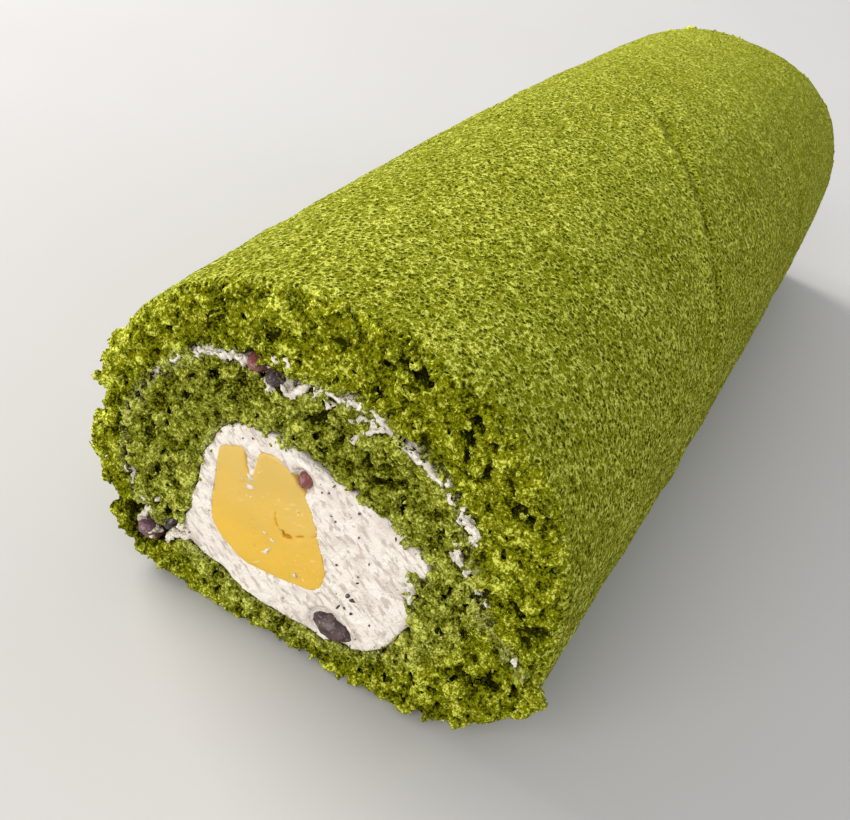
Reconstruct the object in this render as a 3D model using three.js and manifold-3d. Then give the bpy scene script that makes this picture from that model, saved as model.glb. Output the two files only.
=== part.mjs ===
// A matcha sponge roll: one sheet of sponge rolled round whipped cream, with a bar of
// candied chestnut along its middle and whole red beans in the cream.
// Millimetres, +Z up. The roll lies along Y, its shown cut end at -Y, its base on Z = 0.
import * as THREE from "three";
import { mergeVertices } from "three/addons/utils/BufferGeometryUtils.js";
import Module from "manifold-3d";

// The whole roll
const rollLength = 260;
const rollHalfWidth = 45.6;
const rollHeight = 71.7;
const widestLevel = 31.2; // height of the widest point of the section
const topLean = 3; // how far the top leans to -X
const outlineShift = 1; // how far the outline stands to +X of the filling's own zero
const settle = 1; // how much the weight of the roll has flattened its base
const squareness = { topRight: 2.375, topLeft: 2.05, bottomLeft: 4.27, bottomRight: 3.15 };
const rimRadius = 2.5; // rounded edge of the two cut ends
const middleBulge = 0.0386; // extra size half way along, as a share of the section
const farShrink = 0.0107; // the far end is this much smaller than the near one

// Between one piece and the next, and how far a cutting shape reaches past what it cuts
const clearance = 0.3;
const overcut = 1;

// Cream: the core's outline and the middle line of the layer that winds out to the seam
const creamCore = [
  [-22.6, 33], [-20.4, 38.6], [-14.5, 42.8], [-7.8, 43.1], [2.9, 41.4], [12.9, 39.1],
  [19.2, 36.7], [22.4, 32.6], [21.4, 26.5], [21.3, 20.5], [17.4, 12], [8.8, 7.4],
  [-1.5, 6.8], [-13, 8.8], [-22.4, 10.9], [-24.1, 17.8],
];
const creamTurn = [
  [-19, 14], [-25, 12.4], [-31, 13.4], [-36, 17.4], [-39.3, 24.6], [-38.8, 32.4],
  [-35.4, 42], [-28.4, 50.8], [-19, 54.8], [-8, 55.2], [3, 57.4], [10.5, 56], [19.6, 51.6],
  [25.6, 45.6], [28.4, 38.2], [32.6, 31], [38.6, 25.8], [45, 21.4], [49.5, 18.4],
];
const turnHalfThickness = { atCore: 1.35, atSeam: 0.4 };
const turnEnd = 0.93; // share of the turn that the cream fills before the outer seam

// Chestnut bar, and how it wanders towards the far end
const chestnutOutline = [
  [-19.6, 35], [-15.4, 38.9], [-12.6, 38.4], [-8.4, 40.4], [-5, 37.6], [0.3, 31.1],
  [4.4, 23], [4.4, 17.6], [-1.6, 15.4], [-10.2, 14.5], [-17.4, 19], [-20.1, 25.4],
];
const chestnutMiddle = { x: -8.5, z: 27.5 };
const chestnutDrift = { x: 2.6, z: -0.8, turn: -0.3 };

// Red beans: place in the section, size across and up, lean in degrees
const frontBeans = [
  { x: 8.4, z: 10.2, width: 7.6, height: 6.4, lean: -8, colour: "dark" },
  { x: -1.5, z: 38.6, width: 2.5, height: 3.9, lean: 14, colour: "red" },
  { x: -15.7, z: 55.9, width: 4, height: 3.2, lean: 4, colour: "red" },
  { x: -11.3, z: 54.3, width: 3.8, height: 3.5, lean: -20, colour: "dark" },
  { x: -33.5, z: 7.1, width: 6.6, height: 4.3, lean: -21, colour: "purple" },
  { x: -28.2, z: 12.4, width: 3.8, height: 5.6, lean: -16, colour: "dark" },
];
const backBeans = [
  { x: -14.5, z: 10.9, width: 5.6, height: 3.6, lean: 6, colour: "purple" },
  { x: 14.6, z: 31.5, width: 6.8, height: 5.4, lean: -24, colour: "dark" },
  { x: 10.2, z: 56, width: 5, height: 3.4, lean: -22, colour: "red" },
  { x: -37.4, z: 36.4, width: 3.2, height: 5.2, lean: -18, colour: "dark" },
  { x: 14.6, z: 16.6, width: 4.4, height: 5, lean: 30, colour: "red" },
];
const beanLength = 7; // along Y, before the cut takes its share
const beanDepth = 1.4; // from the cut face in to a bean's middle

// The corner where the sheet has torn at the shown end
const tear = [[-28.5, 13.2], [-36, 13.6], [-49, 13.2], [-49, 11.4], [-37, 10.9], [-30, 11.2]];
const tearDepth = 11;
const tearNarrowing = 0.35; // how much of the tear's height is left at its inner end

// Facets
const outlineSteps = 72;
const coreSteps = 30;
const turnSteps = 34;
const chestnutSteps = 24;
const lengthSteps = 3;
const rimSteps = 2;
const beanSteps = { around: 12, up: 6 };
const samplesPerStep = 12; // fine samples of the section behind each of its facets
const weldDistance = 1e-4;

const colours = {
  sponge: { color: 0x7d8128, roughness: 0.95 },
  cream: { color: 0xf1e8d8, roughness: 0.6 },
  chestnut: { color: 0xe6b950, roughness: 0.4 },
  dark: { color: 0x44342a, roughness: 0.35 },
  red: { color: 0x87604e, roughness: 0.35 },
  purple: { color: 0x75604f, roughness: 0.35 },
};

const wasm = await Module();
wasm.setup();

// The roll's section, sampled evenly: four quarter superellipses that lean, cut off flat below.
function rollSection() {
  const fine = [];
  const fineSteps = outlineSteps * samplesPerStep;
  for (let i = 0; i < fineSteps; i++) {
    const angle = (i / fineSteps) * 2 * Math.PI;
    const across = Math.cos(angle);
    const up = Math.sin(angle);
    const side = across >= 0 ? "Right" : "Left";
    const power = 2 / squareness[(up >= 0 ? "top" : "bottom") + side];
    const reach = up >= 0 ? rollHeight - widestLevel : widestLevel + settle;
    const z = widestLevel + Math.sign(up) * reach * Math.abs(up) ** power;
    const x = Math.sign(across) * rollHalfWidth * Math.abs(across) ** power;
    fine.push(new THREE.Vector2(x + outlineShift - (topLean * z) / rollHeight, Math.max(z, 0)));
  }
  return new THREE.Shape(fine).getSpacedPoints(outlineSteps).slice(0, -1);
}

const section = rollSection();
const sectionXs = section.map((point) => point.x);
const sectionMiddle = (Math.min(...sectionXs) + Math.max(...sectionXs)) / 2;

// A closed smooth outline through a few points.
function smoothOutline(points, steps) {
  const corners = points.map(([x, z]) => new THREE.Vector3(x, z, 0));
  const spaced = new THREE.CatmullRomCurve3(corners, true).getSpacedPoints(steps);
  return spaced.slice(0, -1).map((point) => new THREE.Vector2(point.x, point.y));
}

// The same outline, moved outwards by a distance along its own normals.
function grownOutline(points, distance) {
  const turning = Math.sign(THREE.ShapeUtils.area(points));
  return points.map((point, i) => {
    const before = points[(i + points.length - 1) % points.length];
    const after = points[(i + 1) % points.length];
    const along = after.clone().sub(before).normalize();
    return new THREE.Vector2(point.x + turning * along.y * distance, point.y - turning * along.x * distance);
  });
}

// The outline of the thin layer between the turns, up to a share of its length.
function turnOutline(share, extra) {
  const corners = creamTurn.map(([x, z]) => new THREE.Vector3(x, z, 0));
  const line = new THREE.CatmullRomCurve3(corners, false);
  const outer = [];
  const inner = [];
  for (let i = 0; i <= turnSteps; i++) {
    const along = (share * i) / turnSteps;
    const middle = line.getPointAt(along);
    const heading = line.getTangentAt(along);
    const half = THREE.MathUtils.lerp(turnHalfThickness.atCore, turnHalfThickness.atSeam, along) + extra;
    outer.push(new THREE.Vector2(middle.x - heading.y * half, middle.y + heading.x * half));
    inner.unshift(new THREE.Vector2(middle.x + heading.y * half, middle.y - heading.x * half));
  }
  return [...outer, ...inner];
}

// How large the section is at a place along the roll, against its size at the shown end.
function sectionScale(y) {
  const along = y / rollLength + 0.5;
  return 1 + middleBulge * 4 * along * (1 - along) - farShrink * along;
}

// Bends a straight prism into the roll's barrel shape, about its base.
function followRoll(geometry) {
  const place = geometry.getAttribute("position");
  for (let i = 0; i < place.count; i++) {
    const scale = sectionScale(place.getY(i));
    place.setX(i, (place.getX(i) - sectionMiddle) * scale);
    place.setZ(i, place.getZ(i) * scale);
  }
  return geometry;
}

// An outline in the section's plane, made a prism along Y that reaches past both ends by a margin.
function prism(outline, margin = 0, rim = 0) {
  const length = rollLength + 2 * margin;
  const geometry = new THREE.ExtrudeGeometry(new THREE.Shape(outline), {
    depth: length - 2 * rim,
    steps: lengthSteps,
    bevelEnabled: rim > 0,
    bevelThickness: rim,
    bevelSize: rim,
    bevelOffset: -rim,
    bevelSegments: rimSteps,
  });
  geometry.rotateX(Math.PI / 2);
  geometry.translate(0, length / 2 - rim, 0);
  return geometry;
}

function toSolid(geometry) {
  geometry.deleteAttribute("normal");
  geometry.deleteAttribute("uv");
  const merged = mergeVertices(geometry, weldDistance);
  const vertProperties = new Float32Array(merged.getAttribute("position").array);
  const triVerts = new Uint32Array(merged.getIndex().array);
  return new wasm.Manifold(new wasm.Mesh({ numProp: 3, vertProperties, triVerts }));
}

function toMesh(name, solid, look) {
  const { vertProperties, triVerts } = solid.getMesh();
  const geometry = new THREE.BufferGeometry();
  geometry.setAttribute("position", new THREE.BufferAttribute(new Float32Array(vertProperties), 3));
  geometry.setIndex(new THREE.BufferAttribute(new Uint32Array(triVerts), 1));
  geometry.computeVertexNormals();
  const mesh = new THREE.Mesh(geometry, new THREE.MeshStandardMaterial({ metalness: 0, ...colours[look] }));
  mesh.name = name;
  return mesh;
}

function wholeRoll() {
  return toSolid(followRoll(prism(section, 0, rimRadius)));
}

// The space that the cream takes: the core and the turn, with an allowance round them.
function creamSpace(share, extra, margin) {
  const core = prism(grownOutline(smoothOutline(creamCore, coreSteps), extra), margin);
  const turn = prism(turnOutline(share, extra), margin);
  return toSolid(followRoll(core)).add(toSolid(followRoll(turn)));
}

// The chestnut bar drifts and turns a little on its way to the far end.
function chestnutBar(extra, margin) {
  const geometry = prism(grownOutline(smoothOutline(chestnutOutline, chestnutSteps), extra), margin);
  const place = geometry.getAttribute("position");
  for (let i = 0; i < place.count; i++) {
    const along = place.getY(i) / rollLength + 0.5;
    const turn = chestnutDrift.turn * along;
    const x = place.getX(i) - chestnutMiddle.x;
    const z = place.getZ(i) - chestnutMiddle.z;
    const turnedX = x * Math.cos(turn) - z * Math.sin(turn);
    const turnedZ = x * Math.sin(turn) + z * Math.cos(turn);
    place.setX(i, chestnutMiddle.x + chestnutDrift.x * along + turnedX);
    place.setZ(i, chestnutMiddle.z + chestnutDrift.z * along + turnedZ);
  }
  return toSolid(followRoll(geometry));
}

// One bean, not yet cut, at the front (end = -1) or the back (end = 1).
function bean(place, end, extra) {
  const geometry = new THREE.SphereGeometry(1, beanSteps.around, beanSteps.up);
  geometry.scale(place.width / 2 + extra, beanLength / 2 + extra, place.height / 2 + extra);
  geometry.rotateY(THREE.MathUtils.degToRad(-place.lean));
  const scale = sectionScale((end * rollLength) / 2);
  const y = end * (rollLength / 2 - beanDepth);
  geometry.translate((place.x - sectionMiddle) * scale, y, place.z * scale);
  return toSolid(geometry);
}

// The torn corner: a wedge that narrows from the cut face to its inner end.
function tornCorner() {
  const outline = tear.map(([x, z]) => new THREE.Vector2(x, z));
  const middle = outline.reduce((sum, point) => sum + point.y, 0) / outline.length;
  const depth = tearDepth + overcut;
  const geometry = new THREE.ExtrudeGeometry(new THREE.Shape(outline), { depth, bevelEnabled: false });
  geometry.rotateX(Math.PI / 2);
  geometry.translate(0, tearDepth - rollLength / 2, 0);
  const place = geometry.getAttribute("position");
  for (let i = 0; i < place.count; i++) {
    const inwards = (place.getY(i) + rollLength / 2) / tearDepth;
    const squeeze = THREE.MathUtils.lerp(1, tearNarrowing, Math.max(inwards, 0));
    place.setZ(i, middle + (place.getZ(i) - middle) * squeeze);
  }
  return toSolid(followRoll(geometry));
}

const beans = [
  ...frontBeans.map((place, i) => ({ place, end: -1, name: `bean_front_${i + 1}` })),
  ...backBeans.map((place, i) => ({ place, end: 1, name: `bean_back_${i + 1}` })),
];

const body = wholeRoll();
let sponge = body.subtract(creamSpace(1, clearance, overcut)).subtract(tornCorner());
let cream = creamSpace(turnEnd, 0, 0).subtract(chestnutBar(clearance, overcut));
for (const { place, end } of beans) {
  const seat = bean(place, end, clearance);
  sponge = sponge.subtract(seat);
  cream = cream.subtract(seat);
}

const roll = new THREE.Group();
roll.name = "matcha_roll";
roll.add(toMesh("sponge", sponge, "sponge"));
roll.add(toMesh("cream", cream, "cream"));
roll.add(toMesh("chestnut", chestnutBar(0, 0), "chestnut"));
for (const { place, end, name } of beans) {
  roll.add(toMesh(name, bean(place, end, 0).intersect(body), place.colour));
}

export default roll;
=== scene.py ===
# A matcha sponge roll cut at both ends: whipped cream wound inside it, a bar of candied
# chestnut along the middle and whole red beans in the cream.
import math
import bmesh
import bpy
import numpy as np
from mathutils import Matrix, Vector, noise as solidNoise


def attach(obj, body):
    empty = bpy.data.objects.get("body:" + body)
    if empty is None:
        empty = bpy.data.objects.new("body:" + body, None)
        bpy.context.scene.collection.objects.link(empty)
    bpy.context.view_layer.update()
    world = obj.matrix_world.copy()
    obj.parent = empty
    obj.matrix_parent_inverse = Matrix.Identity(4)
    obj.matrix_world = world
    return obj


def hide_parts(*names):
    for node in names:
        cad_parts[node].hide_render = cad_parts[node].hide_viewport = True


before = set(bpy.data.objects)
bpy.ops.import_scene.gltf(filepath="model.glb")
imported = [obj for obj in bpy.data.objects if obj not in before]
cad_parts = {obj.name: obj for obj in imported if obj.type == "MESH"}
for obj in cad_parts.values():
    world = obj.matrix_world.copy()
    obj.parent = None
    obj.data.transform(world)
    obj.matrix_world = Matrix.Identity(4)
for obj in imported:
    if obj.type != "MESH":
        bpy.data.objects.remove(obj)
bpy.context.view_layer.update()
print("frame loaded:", len(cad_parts), "solids")

mm = 0.001  # sizes in this file are millimetres, the scene is metres


# the roll: one section, a little wider half way along

roll = {
    "length": 260,
    "halfWidth": 45.6,
    "height": 71.7,
    "widestLevel": 31.2,
    "topLean": 3,
    "outlineShift": 1,
    "settle": 1,
    "squareness": {"topRight": 2.375, "topLeft": 2.05, "bottomLeft": 4.27, "bottomRight": 3.15},
    "middleBulge": 0.0386,
    "farShrink": 0.0107,
    "rimRadius": 3.0,
}
halfLength = roll["length"] / 2


def evenly(line, count, closed=True, spacing=None):  # the same line with its points spread anew
    whole = np.vstack([line, line[:1]]) if closed else np.asarray(line, float)
    step = np.linalg.norm(np.diff(whole[:, :2], axis=0), axis=1)
    if spacing is not None:
        step = step / spacing
    run = np.concatenate([[0], np.cumsum(step)])
    if count is None:
        count = int(run[-1])
    at = np.linspace(0, run[-1], count, endpoint=not closed)
    return np.stack([np.interp(at, run, whole[:, k]) for k in range(whole.shape[1])], 1)


def rollOutline(count):
    angle = np.linspace(0, 2 * np.pi, 6000, endpoint=False)
    across, up = np.cos(angle), np.sin(angle)
    square = roll["squareness"]
    top = np.where(across >= 0, square["topRight"], square["topLeft"])
    bottom = np.where(across >= 0, square["bottomRight"], square["bottomLeft"])
    power = 2 / np.where(up >= 0, top, bottom)
    reach = np.where(up >= 0, roll["height"] - roll["widestLevel"], roll["widestLevel"] + roll["settle"])
    z = roll["widestLevel"] + np.sign(up) * reach * np.abs(up) ** power
    x = np.sign(across) * roll["halfWidth"] * np.abs(across) ** power
    x = x + roll["outlineShift"] - roll["topLean"] * z / roll["height"]
    return evenly(np.stack([x, np.maximum(z, 0)], 1), count)


sectionFine = rollOutline(3000)
sectionMiddle = float(sectionFine[:, 0].min() + sectionFine[:, 0].max()) / 2


def sectionScale(y):  # the section's size at y, against its size at the shown end
    along = y / roll["length"] + 0.5
    return 1 + roll["middleBulge"] * 4 * along * (1 - along) - roll["farShrink"] * along


def intoRoll(x, y, z):  # a place in the section, y along the roll, in metres
    scale = sectionScale(y)
    return np.stack([(x - sectionMiddle) * scale, y + 0 * x, z * scale], -1) * mm


def smoothLine(points, perSpan, closed=True):  # Catmull-Rom, whatever the points carry
    points = np.array(points, float)
    count = len(points)
    share = np.linspace(0, 1, perSpan, endpoint=False)[:, None]
    made = []
    for i in range(count if closed else count - 1):
        pick = [i - 1, i, i + 1, i + 2]
        pick = [k % count for k in pick] if closed else [min(max(k, 0), count - 1) for k in pick]
        a, b, c, d = (points[k] for k in pick)
        made.append(0.5 * (2 * b + (c - a) * share + (2 * a - 5 * b + 4 * c - d) * share**2
                           + (3 * b - a - 3 * c + d) * share**3))
    if not closed:
        made.append(points[-1:])
    return np.vstack(made)


# what the cut shows, in section millimetres: x to the right, z up

coreLine = [(-22.6, 33), (-21, 37.4), (-19.4, 40.2), (-15.4, 42.8), (-11.8, 43.4), (-7.9, 43.6),
            (-2, 42), (4.9, 40.8), (10, 39.6), (14.8, 38.4), (18.6, 36.4), (21.2, 35), (22.3, 32.6),
            (20.6, 30.6), (20.8, 27), (20.6, 24.2), (21.6, 21), (20.2, 17.4), (18.6, 13), (14.8, 9.4),
            (8.6, 7), (3.4, 7.2), (-3.8, 7.4), (-10.4, 8), (-15.6, 10.2), (-19.6, 10.8), (-23.6, 12.2),
            (-25.4, 15.2), (-24.2, 18.6), (-24, 22.6), (-22.9, 27)]

# the layer between the turns: x, z, half its thickness, how far it stands back
turnLine = [(-19, 13.6, 1.2, 0.6), (-25, 12.4, 1.0, 1.4), (-31, 13.2, 0.9, 2.2),
            (-35.6, 16.6, 0.5, 1.4), (-38.6, 21.4, 0.45, 0.8), (-39.6, 27, 0.4, 1.2),
            (-38.8, 34, 0.4, 1.6), (-35.4, 42, 0.4, 1.6), (-28.4, 50.8, 0.5, 1.0),
            (-19, 54.8, 0.6, 0.8), (-8, 55.2, 0.6, 1.2), (3, 57.4, 0.6, 1), (10.5, 56, 0.5, 1),
            (19.6, 51.6, 0.5, 1), (25.6, 45.6, 0.4, 1.4), (28.4, 38.2, 0.4, 1.6), (32.6, 31, 0.35, 1.8),
            (38.6, 25.8, 0.3, 1.8), (42, 23.4, 0.2, 1.8)]

# the strokes of cream that catch the light along it: points, half thickness, how far they stand back
frontStrokes = [
    ([(-35, 42.4), (-33, 46.5), (-30.9, 48.4), (-28.6, 51), (-26, 51.9)], 0.4, 0.5),
    ([(-25.7, 53.3), (-23.8, 53.9), (-21.9, 54.4), (-19.6, 55)], 0.55, 0),
    ([(-19.6, 55), (-18.2, 55.1), (-16.6, 54.6)], 0.5, 0),
    ([(-13.8, 54.9), (-13, 53.6), (-11.8, 52.6)], 0.4, 0),
    ([(-9.7, 54), (-8.3, 53.3), (-7.2, 54.4), (-5.8, 56)], 0.6, 0),
    ([(-11.5, 58.7), (-9.9, 58.9), (-9.1, 58.2)], 0.5, 0.1),
    ([(-6.7, 59.6), (-5.9, 58)], 0.4, 0),
    ([(-3.9, 56), (-1.9, 57), (0, 57.1), (1.9, 57.1)], 0.45, 0),
    ([(-1.5, 55.3), (-0.2, 55)], 0.35, 0.1),
    ([(1.9, 57.1), (3.9, 57.8), (5.8, 57.8), (8.1, 57), (10.5, 55.7)], 0.5, -0.1),
    ([(4, 50.4), (5.4, 52.7), (7.9, 55), (10.2, 55.5)], 0.5, -0.1),
    ([(2.6, 55.2), (3.6, 54.8), (4.7, 54.7), (6.5, 55)], 1.0, 0.8),
    ([(10.5, 55.6), (12, 55.2), (14, 54)], 0.35, 0),
    ([(14, 54), (15.5, 53.8), (16.9, 53), (19, 52), (20.4, 51.8)], 0.6, -0.2),
    ([(20.7, 51.8), (21.8, 51), (21.5, 49.2)], 0.5, -0.1),
    ([(22.4, 48.9), (23.6, 48.7), (24.7, 48.9)], 0.3, 0),
    ([(24.9, 47.2), (26.4, 46.5), (27.6, 45.2), (27.4, 43.8)], 0.8, -0.1),
    ([(25.3, 41.6), (25.8, 39.8), (27, 38.4)], 0.6, -0.1),
    ([(27.4, 38), (28.8, 37.2), (29.8, 36.6)], 0.25, 0),
    ([(30.4, 35.6), (31, 35)], 0.35, 0),
    ([(32.6, 33.6), (33.4, 32.6)], 0.25, 0.2),
    ([(40.2, 25.4), (41.4, 24.4)], 0.3, 0.2),
    ([(-36.8, 36), (-36.4, 35.4)], 0.35, 0.2),
    ([(-38.7, 21), (-37.8, 19.7), (-36.7, 18.3), (-35.3, 16.7), (-33.5, 16.2), (-31.1, 17.1)], 0.35, 0.1),
    ([(-32.4, 14.7), (-33.7, 12.6), (-34.3, 10.6)], 0.6, 0.2),
    ([(-31.5, 8.6), (-31, 8.4)], 0.35, 0.1),
    ([(-25.4, 15), (-25.5, 13.4), (-26.8, 11.4), (-28.2, 9.4)], 0.7, 0.5),
    ([(-27.8, 9.6), (-26, 11.6), (-23.8, 12.2)], 0.8, 0.1),
]
backStrokes = [
    ([(-34, 44), (-31.2, 47.6), (-27.6, 50.9)], 0.8, -0.1),
    ([(-21, 54.4), (-15.4, 55.3), (-12, 55)], 0.9, -0.1),
    ([(-4.4, 56), (1, 57.2), (4.2, 57.4)], 0.6, 0),
    ([(13.6, 54.9), (18.2, 52.4), (21.4, 50)], 1.0, -0.2),
    ([(25.8, 44.8), (27.6, 40)], 0.7, -0.1),
    ([(31, 33.6), (33.4, 30.4)], 0.6, 0),
    ([(-39.4, 27.2), (-39, 23), (-37.6, 19.6)], 0.7, 0.1),
]

# pits torn in the crumb: two ends and a radius
frontHollows = [
    (-4.6, 50, -0.5, 52.3, 0.8), (1.3, 50.2, 1.9, 48.1, 0.7), (9.9, 68.3, 13.5, 66.2, 1.3),
    (6.2, 67.9, 8.9, 69.2, 0.8), (22.4, 64.2, 25.6, 62.4, 1.15), (-23.6, 49.3, -21.1, 50.5, 0.8),
    (-26.1, 55, -24.6, 55.7, 0.6), (-27.7, 42.8, -26.7, 43.3, 0.7), (-27.7, 23.1, -25.4, 24.3, 1.0),
    (12.3, 65.7, 13.8, 66.5, 0.7), (23.4, 42.4, 25.4, 42.8, 0.8), (37.2, 36.2, 38.6, 35, 1.0),
    (41.2, 33.4, 44.5, 34.8, 0.9), (30.6, 15.6, 33.6, 16.8, 1.0), (33.6, 16.8, 36.8, 18, 1.0),
    (25.5, 29.4, 28, 28.4, 0.8), (24.8, 9, 27, 8, 0.7), (21.1, 62.3, 22.5, 60.3, 0.9),
    (8.5, 45.3, 13.7, 46.9, 0.6), (13, 44.4, 14.5, 43.6, 0.6), (33.4, 54, 35.2, 51.4, 0.9),
    (-40.5, 31.6, -42, 27, 0.7), (-16.6, 56, -14.4, 55.4, 1.5), (-12.8, 54.8, -10.4, 54, 1.6),
    (38.6, 17.6, 42.4, 19.6, 0.9), (42.4, 32.6, 44.2, 33.6, 1.0),
]
backHollows = [
    (-30, 58, -26.4, 60.2, 1.4), (4, 66.4, 8.2, 65.4, 1.5), (-3, 49.4, 1.4, 48.4, 1.0),
    (30, 52, 32.4, 49, 1.3), (36.4, 14, 40.6, 16.8, 1.0), (-31.4, 33.4, -29.6, 30.4, 1.0),
    (25.4, 21.4, 27, 18.8, 1.0), (-8, 2.6, -5, 2.8, 0.8),
]
# clumps that stand out of the cut
frontLumps = [
    (3.4, 70.6, 6.6, 69.6, 1.3), (16.6, 66.6, 19.6, 64.6, 1.3), (23.8, 65.2, 25.4, 63.6, 1.0),
    (27.4, 59.8, 29.4, 57, 1.3), (-45.2, 25.4, -44.8, 21.8, 3.1), (-42.8, 18.2, -41.2, 15.6, 2.4),
    (30.8, 13.2, 34, 13.4, 1.3), (20.2, 31.4, 21.6, 29.2, 0.9), (20, 25.6, 21.4, 23.6, 0.9),
    (-41.6, 45.4, -44.5, 37, 3.2), (45.2, 18.8, 43.8, 15.8, 2.1), (-31.2, 13.9, -29.4, 13.5, 1.7),
    (-39.3, 9.6, -38.6, 7.2, 1.1), (40.4, 28.4, 41.6, 26.8, 1.1),
]
backLumps = [(-20, 66.4, -16.4, 68, 1.8), (34, 56, 36.2, 52.8, 1.8), (24.6, 31.6, 25.8, 29, 1.6),
             (-42, 20, -41, 16.6, 1.6)]


def joinedDots(lines, step=0.5):  # ends and radius to a row of x, z, radius
    made = []
    for x1, z1, x2, z2, radius in lines:
        count = max(2, int(math.hypot(x2 - x1, z2 - z1) / step) + 1)
        made += [(x1 + (x2 - x1) * t, z1 + (z2 - z1) * t, radius, 0) for t in np.linspace(0, 1, count)]
    return made


def strokeDots(strokes, step=0.25):
    made = []
    for points, half, back in strokes:
        line = smoothLine([(x, z, half, back) for x, z in points], 12, closed=False)
        made += list(evenly(line, max(3, int(6 / step)), closed=False))
    return made


def linked(name, data):
    made = bpy.data.objects.new(name, data)
    bpy.context.scene.collection.objects.link(made)
    return made


def setValues(mesh, name, values):  # one number for each point
    numbers = np.asarray(values, np.float32)
    mesh.attributes.new(name, "FLOAT", "POINT").data.foreach_set("value", numbers)


def helper(name, points, faces=(), depths=None):  # an outline or a row of dots that the trees measure from
    points = np.asarray(points, float)
    if depths is None:
        depths = [0] * len(points)
    mesh = bpy.data.meshes.new(name)
    mesh.from_pydata([(p[0], depth, p[1]) for p, depth in zip(points, depths)], [], faces)
    for label, column in (("half", 2), ("back", 3)):
        if points.shape[1] > column:
            setValues(mesh, label, points[:, column])
    return linked(name, mesh)


def loopHelper(name, loop):
    return helper(name, loop, [list(range(len(loop)))])


# short ways to write a node tree

def addNode(tree, kind, inputs=None, **settings):
    made = tree.nodes.new(kind)
    for name, value in settings.items():
        setattr(made, name, value)
    for name, value in (inputs or {}).items():
        plug(tree, made.inputs[name], value)
    return made


def plug(tree, socket, value):
    if isinstance(value, bpy.types.NodeSocket):
        tree.links.new(value, socket)
    else:
        socket.default_value = value


def calc(tree, operation, *values):
    made = tree.nodes.new("ShaderNodeMath")
    made.operation = operation
    for i, value in enumerate(values):
        plug(tree, made.inputs[i], value)
    return made.outputs[0]


def vectorCalc(tree, operation, *values):
    made = tree.nodes.new("ShaderNodeVectorMath")
    made.operation = operation
    for i, value in enumerate(values):
        plug(tree, made.inputs[i], value)
    return made.outputs["Value" if operation in ("LENGTH", "DISTANCE", "DOT_PRODUCT") else "Vector"]


def scaled(tree, vector, amount):
    made = tree.nodes.new("ShaderNodeVectorMath")
    made.operation = "SCALE"
    plug(tree, made.inputs[0], vector)
    plug(tree, made.inputs["Scale"], amount)
    return made.outputs["Vector"]


def vectorOf(tree, **values):
    return addNode(tree, "ShaderNodeCombineXYZ", values).outputs[0]


def evenVector(tree, value):
    return vectorOf(tree, X=value, Y=value, Z=value)


def partsOf(tree, vector):
    return addNode(tree, "ShaderNodeSeparateXYZ", {"Vector": vector}).outputs


def meshPlace(tree):  # millimetres on the mesh
    return scaled(tree, addNode(tree, "GeometryNodeInputPosition").outputs[0], 1 / mm)


def fetched(tree, name, kind="FLOAT"):  # what the mesh carries at each point
    return addNode(tree, "GeometryNodeInputNamedAttribute", {"Name": name}, data_type=kind).outputs[0]


def turnedAbout(tree, vector, angle):  # turned in the section's plane
    return addNode(tree, "ShaderNodeVectorRotate", {"Vector": vector, "Axis": (0, 1, 0), "Angle": angle},
                   rotation_type="AXIS_ANGLE").outputs[0]


def ramp(tree, value, low, high, toLow=0.0, toHigh=1.0, kind="SMOOTHSTEP"):
    return addNode(tree, "ShaderNodeMapRange", {"Value": value, "From Min": low, "From Max": high,
                   "To Min": toLow, "To Max": toHigh}, interpolation_type=kind).outputs["Result"]


def noise(tree, vector, size, detail=0.0, distortion=0.0):  # about -0.5 to 0.5
    made = addNode(tree, "ShaderNodeTexNoise", {"Vector": vector, "Scale": 1 / size, "Detail": detail,
                   "Distortion": distortion})
    return calc(tree, "SUBTRACT", made.outputs[0], 0.5)


def haze(tree, vector, *values):  # about 0 to 1
    return calc(tree, "ADD", noise(tree, vector, *values), 0.5)


def cells(tree, vector, size):  # Distance is 0 at a cell's middle, Color is the cell's own
    scale = calc(tree, "DIVIDE", 1.0, size)
    return addNode(tree, "ShaderNodeTexVoronoi", {"Vector": vector, "Scale": scale}).outputs


def warped(tree, vector, size, amount):  # the place pushed about, so that a pattern loses its regular shape
    cloud = addNode(tree, "ShaderNodeTexNoise", {"Vector": vector, "Scale": 1 / size, "Detail": 0.0})
    push = vectorCalc(tree, "SUBTRACT", cloud.outputs["Color"], (0.5, 0.5, 0.5))
    return vectorCalc(tree, "ADD", vector, scaled(tree, push, amount))


torn = {
    "size": 6.0,  # of the bites in the skin's edge
    "depth": 4.5,
    "rise": 0.022,  # the skin begins further back towards the top
    "sharpRim": 0.3,  # share of the rim's radius where the roll rests
    "sharpBelow": 4.0,
    "roundAbove": 24.0,
}


def tornEdge(tree, point, skinStart):  # how far behind the cut the skin begins, here and there
    height = partsOf(tree, point)[2]
    ragged = noise(tree, point, torn["size"], 1.0)
    leaning = calc(tree, "MULTIPLY_ADD", height, torn["rise"], skinStart)
    return calc(tree, "MULTIPLY_ADD", ragged, torn["depth"], leaning)


def rimAt(tree, rim, height):  # the rim is sharper where the roll rests
    share = ramp(tree, height, torn["sharpBelow"], torn["roundAbove"], torn["sharpRim"], 1.0)
    return calc(tree, "MULTIPLY", rim, share)


def newGroup(name, kind, inputs, outputs):  # name, socket kind and first value of each input
    tree = bpy.data.node_groups.new(name, kind)
    for label, socket, value in inputs:
        made = tree.interface.new_socket(label, in_out="INPUT", socket_type="NodeSocket" + socket)
        if value is not None:
            made.default_value = value
    for label, socket in outputs:
        tree.interface.new_socket(label, in_out="OUTPUT", socket_type="NodeSocket" + socket)
    return tree, tree.nodes.new("NodeGroupInput").outputs, tree.nodes.new("NodeGroupOutput").inputs


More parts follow.
